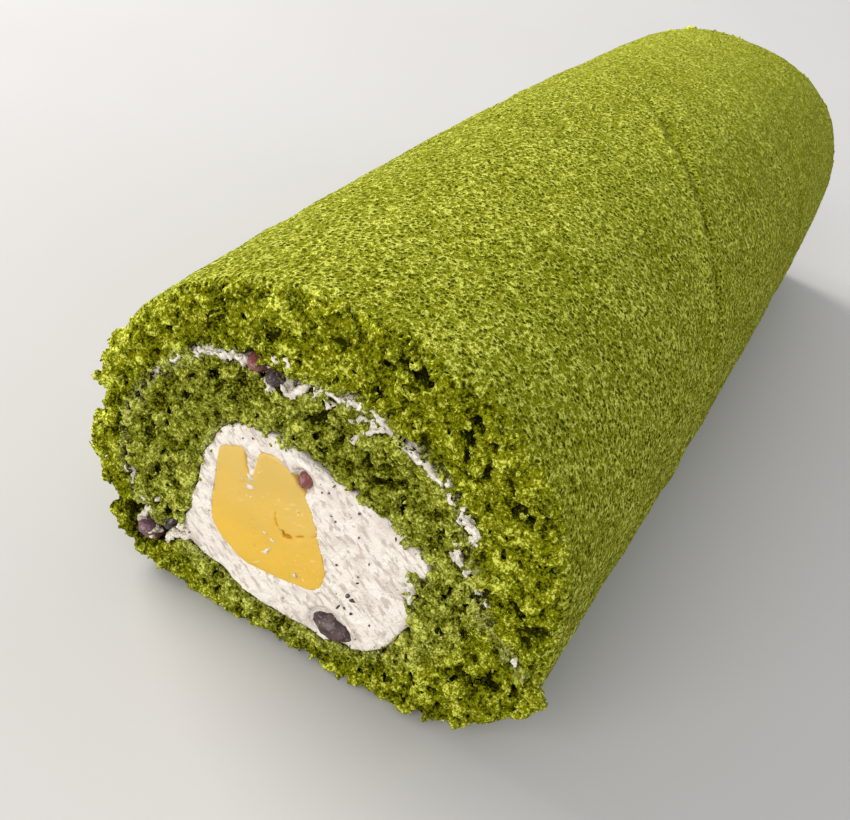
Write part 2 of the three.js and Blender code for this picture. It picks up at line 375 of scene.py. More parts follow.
def runTree(name, tree, values, mesh=None):  # the tree's result as a plain mesh object
    start = linked(name + "Start", mesh or bpy.data.meshes.new(name + "Start"))
    modifier = start.modifiers.new("shape", "NODES")
    modifier.node_group = tree
    for item in tree.interface.items_tree:
        if item.item_type == "SOCKET" and item.in_out == "INPUT" and item.name in values:
            modifier[item.identifier] = values[item.name]
    evaluated = start.evaluated_get(bpy.context.evaluated_depsgraph_get())
    made = bpy.data.objects.new(name, bpy.data.meshes.new_from_object(evaluated))
    made.data.name = name
    used = start.data
    bpy.data.objects.remove(start)
    bpy.data.meshes.remove(used)
    bpy.context.scene.collection.objects.link(made)
    return made


def joined(name, pieces):  # several meshes as one piece
    first = pieces[0]
    if len(pieces) > 1:
        with bpy.context.temp_override(active_object=first, selected_editable_objects=pieces):
            bpy.ops.object.join()
    first.name = first.data.name = name
    return first


def finish(piece, node):
    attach(piece, "root")
    if node:
        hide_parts(node)
    count = sum(len(face.vertices) - 2 for face in piece.data.polygons)
    print(piece.name, count, "triangles")


# fields that the cut ends share

def sectionPlaceGroup():  # where a point lies in the section, and how deep behind a cut
    tree, given, out = newGroup("sectionPlace", "GeometryNodeTree", [
        ("Cut", "Float", -halfLength), ("Inwards", "Float", 1.0)],
        [("Flat", "Vector"), ("Inside", "Float"), ("Point", "Vector")])
    point = meshPlace(tree)
    x, y, z = partsOf(tree, point)
    along = calc(tree, "MULTIPLY_ADD", y, 1 / roll["length"], 0.5)
    arch = calc(tree, "MULTIPLY", along, calc(tree, "SUBTRACT", 1.0, along))
    scale = calc(tree, "MULTIPLY_ADD", arch, 4 * roll["middleBulge"], 1.0)
    scale = calc(tree, "MULTIPLY_ADD", along, -roll["farShrink"], scale)
    sectionX = calc(tree, "ADD", calc(tree, "DIVIDE", x, scale), sectionMiddle)
    sectionZ = calc(tree, "DIVIDE", z, scale)
    plug(tree, out["Flat"], vectorOf(tree, X=sectionX, Z=sectionZ))
    inside = calc(tree, "MULTIPLY", calc(tree, "SUBTRACT", y, given["Cut"]), given["Inwards"])
    plug(tree, out["Inside"], inside)
    plug(tree, out["Point"], point)
    return tree


def areaDepthGroup():  # how deep inside a flat outline, minus outside
    tree, given, out = newGroup("areaDepth", "GeometryNodeTree",
                                [("Outline", "Object", None), ("Flat", "Vector", None)],
                                [("Depth", "Float")])
    shape = addNode(tree, "GeometryNodeObjectInfo", {"Object": given["Outline"]}).outputs["Geometry"]
    area = addNode(tree, "GeometryNodeProximity", {"Geometry": shape, "Sample Position": given["Flat"]},
                   target_element="FACES").outputs["Distance"]
    edge = addNode(tree, "GeometryNodeProximity", {"Geometry": shape, "Sample Position": given["Flat"]},
                   target_element="EDGES").outputs["Distance"]
    onFace = 0.005  # mm, nearer than this counts as on the outline's face
    outside = calc(tree, "GREATER_THAN", area, onFace)
    plug(tree, out["Depth"], calc(tree, "MULTIPLY", edge, calc(tree, "MULTIPLY_ADD", outside, -2.0, 1.0)))
    return tree


def dotDepthGroup():  # how deep inside the nearest of a row of dots, and how far that one stands back
    tree, given, out = newGroup("dotDepth", "GeometryNodeTree",
                                [("Dots", "Object", None), ("Place", "Vector", None)],
                                [("Depth", "Float"), ("Back", "Float")])
    shape = addNode(tree, "GeometryNodeObjectInfo", {"Object": given["Dots"]}).outputs["Geometry"]
    index = addNode(tree, "GeometryNodeSampleNearest",
                    {"Geometry": shape, "Sample Position": given["Place"]}).outputs[0]
    where = addNode(tree, "GeometryNodeSampleIndex", {"Geometry": shape, "Index": index,
                    "Value": addNode(tree, "GeometryNodeInputPosition").outputs[0]}, data_type="FLOAT_VECTOR")
    kept = []
    for label in ("half", "back"):
        value = fetched(tree, label)
        sample = addNode(tree, "GeometryNodeSampleIndex", {"Geometry": shape, "Index": index, "Value": value},
                         data_type="FLOAT")
        kept.append(sample.outputs[0])
    away = vectorCalc(tree, "DISTANCE", given["Place"], where.outputs[0])
    plug(tree, out["Depth"], calc(tree, "SUBTRACT", kept[0], away))
    plug(tree, out["Back"], kept[1])
    return tree


sectionPlace = sectionPlaceGroup()
areaDepth = areaDepthGroup()
dotDepth = dotDepthGroup()


def useArea(tree, outline, flat):
    return addNode(tree, "GeometryNodeGroup", {"Outline": outline, "Flat": flat},
                   node_tree=areaDepth).outputs[0]


def useDots(tree, dots, place):
    return addNode(tree, "GeometryNodeGroup", {"Dots": dots, "Place": place}, node_tree=dotDepth).outputs


def useSection(tree, given):  # the last place is moved by the seed, so that each end has its own noise
    section = addNode(tree, "GeometryNodeGroup", {"Cut": given["Cut"], "Inwards": given["Inwards"]},
                      node_tree=sectionPlace).outputs
    point = section["Point"]
    place = vectorCalc(tree, "ADD", point, vectorOf(tree, X=given["Seed"], Z=given["Seed"]))
    return section["Flat"], section["Inside"], point, place


endSockets = [
    ("Low", "Vector", None), ("High", "Vector", None), ("Voxel", "Float", 0.25),
    ("Cut", "Float", -halfLength), ("Inwards", "Float", 1.0), ("Depth", "Float", 9.0),
    ("Seed", "Float", 0.0),
]


def endVolume(tree, given, density, adaptivity=0.02):  # the surface where a density field passes zero
    size = scaled(tree, vectorCalc(tree, "SUBTRACT", given["High"], given["Low"]), 1 / mm)
    x, y, z = partsOf(tree, vectorCalc(tree, "DIVIDE", size, evenVector(tree, given["Voxel"])))
    cube = addNode(tree, "GeometryNodeVolumeCube", {
        "Density": density, "Background": -1.0, "Min": given["Low"], "Max": given["High"],
        "Resolution X": x, "Resolution Y": y, "Resolution Z": z})
    return addNode(tree, "GeometryNodeVolumeToMesh", {"Volume": cube.outputs[0], "Threshold": 0.0,
                   "Adaptivity": adaptivity}).outputs[0]


def withMaterial(tree, given, out, mesh):
    made = addNode(tree, "GeometryNodeSetMaterial", {"Geometry": mesh, "Material": given["Material"]})
    plug(tree, out[0], made.outputs[0])


def closeTree(tree, given, out, mesh):
    mesh = addNode(tree, "GeometryNodeSetShadeSmooth", {"Geometry": mesh}).outputs[0]
    mesh = addNode(tree, "GeometryNodeRealizeInstances", {"Geometry": mesh}).outputs[0]
    withMaterial(tree, given, out, mesh)


def carved(tree, depth, away, soft):  # what lies inside the second field is taken from the first
    return calc(tree, "SMOOTH_MIN", depth, calc(tree, "MULTIPLY", away, -1.0), soft)


def stored(tree, mesh, name, value):
    return addNode(tree, "GeometryNodeStoreNamedAttribute", {"Geometry": mesh, "Name": name, "Value": value},
                   data_type="FLOAT", domain="POINT").outputs[0]


def largeIslands(tree, mesh, least):  # without the grains that float free
    island = addNode(tree, "GeometryNodeInputMeshIsland").outputs["Island Index"]
    size = addNode(tree, "GeometryNodeAccumulateField", {"Value": 1.0, "Group ID": island},
                   data_type="FLOAT", domain="POINT").outputs["Total"]
    small = calc(tree, "LESS_THAN", size, least)
    return addNode(tree, "GeometryNodeDeleteGeometry", {"Geometry": mesh, "Selection": small}, domain="POINT",
                   mode="ALL").outputs[0]


# materials

def shaderMaterial(name):
    material = bpy.data.materials.new(name)
    material.use_nodes = True
    tree = material.node_tree
    return material, tree, tree.nodes["Principled BSDF"]


def mixColour(tree, share, first, second):
    made = tree.nodes.new("ShaderNodeMix")
    made.data_type = "RGBA"
    plug(tree, made.inputs[0], share)
    plug(tree, made.inputs[6], first if isinstance(first, bpy.types.NodeSocket) else (*first, 1))
    plug(tree, made.inputs[7], second if isinstance(second, bpy.types.NodeSocket) else (*second, 1))
    return made.outputs[2]


def objectPlace(tree):  # millimetres on the object
    return scaled(tree, addNode(tree, "ShaderNodeTexCoord").outputs["Object"], 1 / mm)


def attribute(tree, name, socket="Fac"):
    return addNode(tree, "ShaderNodeAttribute", attribute_name=name).outputs[socket]


def bump(tree, shader, height, distance, strength=1.0):
    made = addNode(tree, "ShaderNodeBump", {"Height": height, "Distance": distance * mm,
                   "Strength": strength})
    plug(tree, shader.inputs["Normal"], made.outputs[0])


def ridges(tree, place):  # raised joints between uneven cells, and the pits in most of them
    loose = warped(tree, place, 1.5, 0.8)
    near = cells(tree, loose, 1.0)["Distance"]
    strength = ramp(tree, noise(tree, place, 1.7, 1.0), -0.22, 0.16, 0.25, 1.0)
    line = calc(tree, "MULTIPLY", ramp(tree, near, 0.30, 0.66), strength)
    chosen = ramp(tree, noise(tree, place, 2.4), -0.16, 0.14, 0.15, 1.0)
    pit = calc(tree, "MULTIPLY", ramp(tree, near, 0.12, 0.42, 1.0, 0.0), chosen)
    return line, pit


def bakedGrainGroup():  # the ridges, pits, beads and granules of sponge, for its skin and its torn crumb
    tree, given, out = newGroup("bakedGrain", "ShaderNodeTree", [
        ("Place", "Vector", None), ("Ridge size", "Float", 1.0), ("Bead size", "Float", 0.55),
        ("Granule size", "Float", 0.35)],
        [(label, "Float") for label in ("Ridges", "Pits", "Beads", "Bead tone", "Granules", "Patches")])
    coarse = vectorCalc(tree, "DIVIDE", given["Place"], evenVector(tree, given["Ridge size"]))
    line, pit = ridges(tree, coarse)
    plug(tree, out["Ridges"], line)
    plug(tree, out["Pits"], pit)
    bead = cells(tree, warped(tree, given["Place"], 1.3, 0.7), given["Bead size"])
    plug(tree, out["Beads"], calc(tree, "SUBTRACT", 0.5, bead["Distance"]))
    plug(tree, out["Bead tone"], partsOf(tree, bead["Color"])[0])
    grain = vectorCalc(tree, "DIVIDE", given["Place"], evenVector(tree, given["Granule size"]))
    plug(tree, out["Granules"], haze(tree, grain, 1.0, 2.0))
    plug(tree, out["Patches"], haze(tree, given["Place"], 16.0, 2.0))
    return tree


bakedGrain = bakedGrainGroup()


def useGrain(tree, place, ridgeSize, beadSize, granuleSize):
    return addNode(tree, "ShaderNodeGroup", {"Place": place, "Ridge size": ridgeSize, "Bead size": beadSize,
                   "Granule size": granuleSize}, node_tree=bakedGrain).outputs


def weighed(tree, start, *parts):  # a sum of outputs about their middle: value, middle, weight
    total = start
    for value, middle, weight in parts:
        total = calc(tree, "MULTIPLY_ADD", calc(tree, "SUBTRACT", value, middle), weight, total)
    return total


crumbLook = {
    # painted light: the pit colour is painted shade and the tip colour is painted highlight; the body colour
    # is the crumb's own green
    "pit": (0.026, 0.027, 0.0002),
    "body": (0.232, 0.246, 0.0030),
    "tipHighlight": (0.780, 0.810, 0.110),
    "stain": (0.460, 0.470, 0.220),
    "innerStain": 0.17,
    "innerScale": (1 / 36, 0.0, 1 / 28),  # an oval about the inner turn
    "innerShift": (0.08, 0.0, -1.04),
    "ridgeSize": 0.9,
    "beadSize": 0.62,
    "granule": 0.37,
    "clumpSize": 3.6,
    # sunk darkens as painted shade, beads and granules lighten the raised grains as painted highlight, tone,
    # clump and patches vary at random
    "weights": {"sunk": -0.80, "beads": 1.6, "granules": 3.1, "beadTone": 0.7, "tone": 0.9, "clump": 1.5,
                "patches": 1.2},
    "pitLevels": (-1.5, -0.05),
    "tipLevels": (-0.05, 1.05),
    "roughness": 0.95,
    "specular": 0.03,
    "bump": 0.50,
}


def makeCrumbMaterial():
    material, tree, shader = shaderMaterial("tornCrumb")
    look, weight = crumbLook, crumbLook["weights"]
    place = objectPlace(tree)
    grain = useGrain(tree, place, look["ridgeSize"], look["beadSize"], look["granule"])
    # painted shade: the deeper the crumb lies below its envelope, the darker it is drawn
    sunk = calc(tree, "MINIMUM", attribute(tree, "hollow"), 2.0)
    clump = haze(tree, place, look["clumpSize"], 1.0)
    tone = attribute(tree, "tone")
    level = weighed(tree, 0.0, (sunk, 0.0, weight["sunk"]), (grain["Beads"], 0.05, weight["beads"]),
                    (grain["Granules"], 0.5, weight["granules"]),
                    (grain["Bead tone"], 0.5, weight["beadTone"]),
                    (tone, 0.5, weight["tone"]), (clump, 0.5, weight["clump"]),
                    (grain["Patches"], 0.5, weight["patches"]))
    # the level runs from painted shade in the pits, through the body colour, to painted highlight on the
    # raised tips
    colour = mixColour(tree, ramp(tree, level, *look["pitLevels"]), look["pit"], look["body"])
    colour = mixColour(tree, ramp(tree, level, *look["tipLevels"]), colour, look["tipHighlight"])
    stain = calc(tree, "MULTIPLY", attribute(tree, "stain"), ramp(tree, grain["Beads"], -0.1, 0.3, 0.05, 0.7))
    # the inner turn is a little paler and greyer
    turned = vectorCalc(tree, "MULTIPLY_ADD", place, look["innerScale"], look["innerShift"])
    inner = ramp(tree, vectorCalc(tree, "LENGTH", turned), 0.90, 1.04, look["innerStain"], 0.0)
    stain = calc(tree, "MAXIMUM", stain, calc(tree, "MULTIPLY", inner, ramp(tree, level, -1.0, 0.6)))
    colour = mixColour(tree, stain, colour, look["stain"])
    plug(tree, shader.inputs["Base Color"], colour)
    shader.inputs["Roughness"].default_value = look["roughness"]
    shader.inputs["Specular IOR Level"].default_value = look["specular"]
    height = weighed(tree, 0.0, (grain["Beads"], 0.0, 0.9), (grain["Granules"], 0.5, 1.3))
    bump(tree, shader, height, look["bump"])
    return material


skinLook = {
    # painted light: the pit colour is painted shade and the ridge colour is painted highlight; the body
    # colour is the skin's own green
    "pit": (0.027, 0.032, 0.0002),
    "body": (0.180, 0.194, 0.0014),
    "ridgeHighlight": (0.640, 0.668, 0.118),
    "ridgeSize": 0.80,
    "beadSize": 0.50,
    "granule": 0.31,
    "weights": {"ridges": 0.8, "pits": -1.1, "beads": 0.5, "granules": 2.8, "relief": 0.3, "patches": 0.4},
    "pitLevels": (-1.0, 0.0),
    "ridgeLevels": (0.0, 1.05),
    "farSpan": (-30.0, 110.0),
    "farGrain": 0.62,  # how much of the grain is left at the far end
    # painted light: the skin is drawn lighter towards the far end
    "farPaintedLight": 0.17,
    "sheen": 0.10,
    "sheenTint": (0.82, 0.90, 0.06),
    "roughness": 0.9,
    "specular": 0.03,
    "bump": 0.42,
}


def makeSkinMaterial():
    material, tree, shader = shaderMaterial("bakedSkin")
    look, weight = skinLook, skinLook["weights"]
    place = objectPlace(tree)
    grain = useGrain(tree, place, look["ridgeSize"], look["beadSize"], look["granule"])
    relief = attribute(tree, "relief")
    # painted highlight on the raised ridges and granules, painted shade in the pits and in the dips of the
    # relief; beads and patches vary at random
    level = weighed(tree, 0.0, (grain["Ridges"], 0.3, weight["ridges"]),
                    (grain["Pits"], 0.10, weight["pits"]),
                    (grain["Beads"], 0.05, weight["beads"]), (grain["Granules"], 0.5, weight["granules"]),
                    (relief, 0.0, weight["relief"]), (grain["Patches"], 0.5, weight["patches"]))
    along = partsOf(tree, place)[1]
    # painted light towards the far end, where the grain also fades
    lift = ramp(tree, along, *look["farSpan"], 0.0, look["farPaintedLight"])
    left = ramp(tree, along, *look["farSpan"], 1.0, look["farGrain"])
    level = calc(tree, "MULTIPLY_ADD", level, left, lift)
    colour = mixColour(tree, ramp(tree, level, *look["pitLevels"]), look["pit"], look["body"])
    colour = mixColour(tree, ramp(tree, level, *look["ridgeLevels"]), colour, look["ridgeHighlight"])
    plug(tree, shader.inputs["Base Color"], colour)
    shader.inputs["Roughness"].default_value = look["roughness"]
    shader.inputs["Sheen Weight"].default_value = look["sheen"]
    shader.inputs["Sheen Tint"].default_value = (*look["sheenTint"], 1)
    shader.inputs["Specular IOR Level"].default_value = look["specular"]
    height = weighed(tree, 0.0, (grain["Ridges"], 0.0, 0.7), (grain["Pits"], 0.0, -0.8),
                     (grain["Granules"], 0.5, 1.2))
    bump(tree, shader, height, look["bump"])
    return material


creamLook = {
    "light": (0.885, 0.822, 0.728),
    "grey": (0.540, 0.460, 0.388),
    "soaked": (0.470, 0.455, 0.290),
    "blush": (0.700, 0.500, 0.400),
    "dark": (0.200, 0.150, 0.125),
    "cloudSize": 5.0,
    "drawnTurn": 0.9,  # the way the knife drew it, in radians
    "fineSize": 0.9,
    "speckSize": 0.42,
    "blushSize": 2.2,
    "roughness": 0.5,
    "specular": 0.35,
    "bumpSize": 0.45,
    "bump": 0.30,
}


def makeCreamMaterial():
    material, tree, shader = shaderMaterial("whippedCream")
    place = objectPlace(tree)
    cloud = haze(tree, place, creamLook["cloudSize"], 3.0, 0.6)
    drawn = vectorCalc(tree, "MULTIPLY", turnedAbout(tree, place, creamLook["drawnTurn"]), (1.0, 1.0, 0.4))
    fine = haze(tree, drawn, creamLook["fineSize"], 3.0, 0.5)
    colour = mixColour(tree, ramp(tree, cloud, 0.44, 0.72, 0.0, 0.55), creamLook["light"], creamLook["grey"])
    colour = mixColour(tree, ramp(tree, fine, 0.49, 0.64, 0.0, 0.85), colour, creamLook["grey"])
    # painted shade: greyer where the cream lies deeper behind the cut
    deep = ramp(tree, attribute(tree, "hollow"), 0.15, 0.9, 0.0, 0.8)
    colour = mixColour(tree, deep, colour, creamLook["grey"])
    elsewhere = vectorCalc(tree, "ADD", drawn, (7.0, 0.0, 50.0))
    speck = ramp(tree, noise(tree, elsewhere, creamLook["speckSize"], 1.0), 0.20, 0.30)
    where = ramp(tree, noise(tree, place, 4.5, 1.0), 0.0, 0.14, 0.0, 0.8)
    colour = mixColour(tree, calc(tree, "MULTIPLY", speck, where), colour, creamLook["dark"])
    elsewhere = vectorCalc(tree, "ADD", place, (40.0, 0.0, 9.0))
    blush = haze(tree, elsewhere, creamLook["blushSize"], 2.0)
    colour = mixColour(tree, ramp(tree, blush, 0.60, 0.78, 0.0, 0.34), colour, creamLook["blush"])
    soaked = ramp(tree, noise(tree, place, 0.8, 2.0), -0.20, 0.09, 0.78, 0.0)
    soaked = calc(tree, "MULTIPLY", attribute(tree, "thin"), soaked)
    colour = mixColour(tree, soaked, colour, creamLook["soaked"])
    plug(tree, shader.inputs["Base Color"], colour)
    plug(tree, shader.inputs["Roughness"], ramp(tree, cloud, 0.3, 0.7, creamLook["roughness"], 0.75))
    shader.inputs["Specular IOR Level"].default_value = creamLook["specular"]
    bump(tree, shader, noise(tree, place, creamLook["bumpSize"], 3.0), creamLook["bump"])
    return material


chestnutLook = {
    "pale": (0.690, 0.460, 0.098),
    "deep": (0.75, 0.465, 0.045),
    # painted shade: the colour drawn in the cracks, deeper and darker than the bar
    "crack": (0.70, 0.38, 0.025),
    "frost": (0.90, 0.74, 0.36),
    "cloudSize": 6.0,
    "patchSize": 7.0,
    "streakTurn": 0.6,
    "streakSize": 1.3,
    "dustSize": 0.7,
    "roughness": 0.38,
    "glow": 0.3,  # how much light passes under the surface
    "glowColour": (1.0, 0.6, 0.2),
    "glowDepth": 1.5,
    "bumpSize": 0.9,
    "bump": 0.12,
}


def makeChestnutMaterial():
    material, tree, shader = shaderMaterial("candiedChestnut")
    place = objectPlace(tree)
    height = partsOf(tree, place)[2]
    cloud = haze(tree, place, chestnutLook["cloudSize"], 2.0, 0.8)
    share = calc(tree, "MULTIPLY_ADD", height, 0.045, calc(tree, "MULTIPLY_ADD", cloud, 0.8, -1.25))
    colour = mixColour(tree, ramp(tree, share, 0.0, 0.8), chestnutLook["deep"], chestnutLook["pale"])
    broken = ramp(tree, noise(tree, place, chestnutLook["patchSize"]), 0.0, 0.15)
    turned = turnedAbout(tree, place, chestnutLook["streakTurn"])
    drawn = vectorCalc(tree, "MULTIPLY", turned, (0.3, 1.0, 1.0))
    streak = noise(tree, drawn, chestnutLook["streakSize"], 2.0)
    streak = calc(tree, "MULTIPLY", ramp(tree, streak, 0.08, 0.26, 0.0, 0.6), broken)
    colour = mixColour(tree, streak, colour, chestnutLook["frost"])
    dust = ramp(tree, noise(tree, place, chestnutLook["dustSize"], 2.0), 0.14, 0.26, 0.0, 0.8)
    colour = mixColour(tree, calc(tree, "MULTIPLY", dust, broken), colour, chestnutLook["frost"])
    # painted shade in the cracks
    colour = mixColour(tree, ramp(tree, attribute(tree, "hollow"), 0.1, 0.6), colour, chestnutLook["crack"])
    plug(tree, shader.inputs["Base Color"], colour)
    plug(tree, shader.inputs["Roughness"], ramp(tree, cloud, 0.3, 0.7, chestnutLook["roughness"], 0.55))
    shader.inputs["Subsurface Weight"].default_value = chestnutLook["glow"]
    shader.inputs["Subsurface Radius"].default_value = chestnutLook["glowColour"]
    shader.inputs["Subsurface Scale"].default_value = chestnutLook["glowDepth"] * mm
    bump(tree, shader, noise(tree, place, chestnutLook["bumpSize"], 3.0), chestnutLook["bump"])
    return material


beanLook = {
    "dark": (0.034, 0.018, 0.017),
    "brown": (0.085, 0.046, 0.042),
    "red": (0.230, 0.060, 0.050),
    "purple": (0.140, 0.066, 0.090),
    "dust": (0.300, 0.225, 0.210),
    "cloudSize": 2.4,
    "dustSize": 0.5,
    "coat": 0.2,
    "coatRoughness": 0.25,
    "bump": 0.08,
}


def makeBeanMaterial(name, shade, spread):
    material, tree, shader = shaderMaterial(name)
    place = objectPlace(tree)
    cloud = haze(tree, place, beanLook["cloudSize"], 3.0, 0.5)
    colour = mixColour(tree, ramp(tree, cloud, 0.42, 0.68), beanLook[shade], beanLook[spread])
    fine = haze(tree, place, beanLook["dustSize"], 2.0)
    colour = mixColour(tree, ramp(tree, fine, 0.52, 0.72, 0.0, 0.6), colour, beanLook["dust"])
    plug(tree, shader.inputs["Base Color"], colour)
    plug(tree, shader.inputs["Roughness"], ramp(tree, cloud, 0.3, 0.7, 0.28, 0.5))
    shader.inputs["Coat Weight"].default_value = beanLook["coat"]
    shader.inputs["Coat Roughness"].default_value = beanLook["coatRoughness"]
    bump(tree, shader, fine, beanLook["bump"])
    return material


floorLook = {
    "grey": (0.46, 0.447, 0.426),
    "pale": (0.50, 0.49, 0.472),
    "cloudSize": 180.0,
    "roughness": 0.8,
    "halfWidth": 2.0,  # metres
}


def makeFloorMaterial():
    material, tree, shader = shaderMaterial("paleFloor")
    cloud = haze(tree, objectPlace(tree), floorLook["cloudSize"], 3.0)
    plug(tree, shader.inputs["Base Color"], mixColour(tree, cloud, floorLook["grey"], floorLook["pale"]))
    shader.inputs["Roughness"].default_value = floorLook["roughness"]
    return material


crumbMaterial = makeCrumbMaterial()
skinMaterial = makeSkinMaterial()
creamMaterial = makeCreamMaterial()
chestnutMaterial = makeChestnutMaterial()
beanMaterials = {
    "dark": makeBeanMaterial("darkBean", "dark", "brown"),
    "red": makeBeanMaterial("redBean", "red", "brown"),
    "purple": makeBeanMaterial("purpleBean", "purple", "red"),
}
print("materials made")


# crumb: the torn sponge at each cut end

crumb = {
    "frontVoxel": 0.25,
    "backVoxel": 0.38,
    "depth": 8.5,
    "skinStart": 1.2,  # how far behind the cut the baked skin begins
    "sunk": 0.5,  # keeps the clumps of the torn rim level with the skin
    "swell": 1.7,
    "clumps": 2.3,
    "clumpSize": 3.2,
    "granules": 1.1,
    "granuleSize": 0.95,
    "grit": 1.0,
    "gritSize": 0.55,
    "pits": 1.8,
    "pitSize": 1.9,
    "swellSize": 9.0,
    "underSkin": 0.9,  # how far it sinks where the skin covers it
    "coreGap": -0.15,  # how far it stays back from the core's outline
    "layerGap": 0.25,  # how far it reaches into the layer of cream
    "creamEdge": 0.6,  # how softly an edge is rounded
    "hollowEdge": 0.8,
    "hollowSlope": 0.5,
    "tearEdge": 0.6,
    "tearSlope": 0.22,
    "lumpEdge": 1.2,
    "leastGrain": 60.0,  # points of the smallest grain that stays
    "adaptivity": 0.08,
}


def makeCrumbTree():
    tree, given, out = newGroup("tornCrumb", "GeometryNodeTree", endSockets + [
        ("Left", "Float", -100.0), ("Right", "Float", 100.0), ("Rim", "Float", 3.0),
        ("Skin start", "Float", 1.2), ("Sunk", "Float", 0.5), ("Swell", "Float", 1.7),
        ("Clumps", "Float", 1.5), ("Clump size", "Float", 2.7), ("Granules", "Float", 1.15),
        ("Granule size", "Float", 1.05), ("Grit", "Float", 0.9), ("Pits", "Float", 1.7),
        ("Outline", "Object", None), ("Core", "Object", None), ("Turn", "Object", None),
        ("Hollows", "Object", None), ("Lumps", "Object", None), ("Tear", "Object", None),
        ("Material", "Material", None)],
        [("Geometry", "Geometry")])
    flat, inside, point, place = useSection(tree, given)
    edge = useArea(tree, given["Outline"], flat)
    behind = calc(tree, "SUBTRACT", inside, tornEdge(tree, point, given["Skin start"]))
    covered = ramp(tree, behind, 0.0, 1.3, 0.0, crumb["underSkin"])
    outer = calc(tree, "SUBTRACT", edge, calc(tree, "ADD", given["Sunk"], covered))
    swell = calc(tree, "MULTIPLY_ADD", noise(tree, place, crumb["swellSize"], 1.0), given["Swell"], inside)
    # a rounded rim where the cut meets the outer side
    rim = rimAt(tree, given["Rim"], partsOf(tree, flat)[2])
    short = calc(tree, "MAXIMUM", calc(tree, "SUBTRACT", rim, outer), 0.0)
    near = calc(tree, "MAXIMUM", calc(tree, "SUBTRACT", rim, swell), 0.0)
    across = vectorCalc(tree, "LENGTH", vectorOf(tree, X=short, Y=near))
    beyond = calc(tree, "MAXIMUM", calc(tree, "SUBTRACT", calc(tree, "MINIMUM", outer, swell), rim), 0.0)
    envelope = calc(tree, "ADD", calc(tree, "SUBTRACT", rim, across), beyond)
    # room for the cream, rounded into it
    core = calc(tree, "SUBTRACT", crumb["coreGap"], useArea(tree, given["Core"], flat))
    line = calc(tree, "SUBTRACT", crumb["layerGap"], useDots(tree, given["Turn"], flat)["Depth"])
    gap = calc(tree, "MINIMUM", core, line)
    depth = calc(tree, "SMOOTH_MIN", envelope, gap, crumb["creamEdge"])
    # torn hollows, the tear and the proud clumps
    low = vectorCalc(tree, "ADD", flat, vectorOf(tree, Y=calc(tree, "MULTIPLY", swell, crumb["hollowSlope"])))
    hollow = calc(tree, "SUBTRACT", useDots(tree, given["Hollows"], low)["Depth"], 0.1)
    depth = carved(tree, depth, hollow, crumb["hollowEdge"])
    narrowing = calc(tree, "MULTIPLY", inside, crumb["tearSlope"])
    tear = calc(tree, "SUBTRACT", useArea(tree, given["Tear"], flat), narrowing)
    depth = carved(tree, depth, tear, crumb["tearEdge"])
    raised = vectorCalc(tree, "ADD", flat, vectorOf(tree, Y=inside))
    lump = useDots(tree, given["Lumps"], raised)["Depth"]
    depth = calc(tree, "SMOOTH_MAX", depth, lump, crumb["lumpEdge"])
    # round granules in clumps, grit and pits, fading under the skin and behind
    granule = cells(tree, warped(tree, place, 2.3, 1.5), given["Granule size"])
    clump = cells(tree, warped(tree, place, 6.0, 3.0), given["Clump size"])
    rough = calc(tree, "MULTIPLY", calc(tree, "SUBTRACT", 0.5, clump["Distance"]), given["Clumps"])
    ball = calc(tree, "SUBTRACT", 0.5, granule["Distance"])
    rough = calc(tree, "MULTIPLY_ADD", ball, given["Granules"], rough)
    rough = calc(tree, "MULTIPLY_ADD", noise(tree, place, crumb["gritSize"]), given["Grit"], rough)
    pit = ramp(tree, noise(tree, place, crumb["pitSize"], 0.0, 0.3), 0.10, 0.25)
    rough = calc(tree, "SUBTRACT", rough, calc(tree, "MULTIPLY", pit, given["Pits"]))
    level = ramp(tree, behind, -0.8, 1.6, 1.0, 0.35)
    level = calc(tree, "MAXIMUM", level, ramp(tree, edge, 0.8, 3.0))
    level = calc(tree, "MAXIMUM", level, ramp(tree, lump, -1.6, -0.2))
    level = calc(tree, "MULTIPLY", level, ramp(tree, inside, 3.6, 6.0, 1.0, 0.0))
    density = calc(tree, "MULTIPLY_ADD", rough, level, depth)
    density = calc(tree, "MINIMUM", density, calc(tree, "SUBTRACT", given["Depth"], inside))
    flatX = partsOf(tree, flat)[0]
    density = calc(tree, "MINIMUM", density, calc(tree, "SUBTRACT", flatX, given["Left"]))
    density = calc(tree, "MINIMUM", density, calc(tree, "SUBTRACT", given["Right"], flatX))
    mesh = largeIslands(tree, endVolume(tree, given, density, crumb["adaptivity"]), crumb["leastGrain"])
    # painted shade mask: depth below the envelope, stored as hollow for the material to darken
    sunk = calc(tree, "MAXIMUM", calc(tree, "MINIMUM", envelope, 3.5), -0.3)
    mesh = stored(tree, mesh, "hollow", sunk)
    stain = ramp(tree, calc(tree, "MULTIPLY_ADD", noise(tree, place, 4.0), 2.5, gap), 0.2, 2.0, 1.0, 0.0)
    mesh = stored(tree, mesh, "stain", stain)
    mesh = stored(tree, mesh, "tone", partsOf(tree, granule["Color"])[0])
    closeTree(tree, given, out, mesh)
    return tree


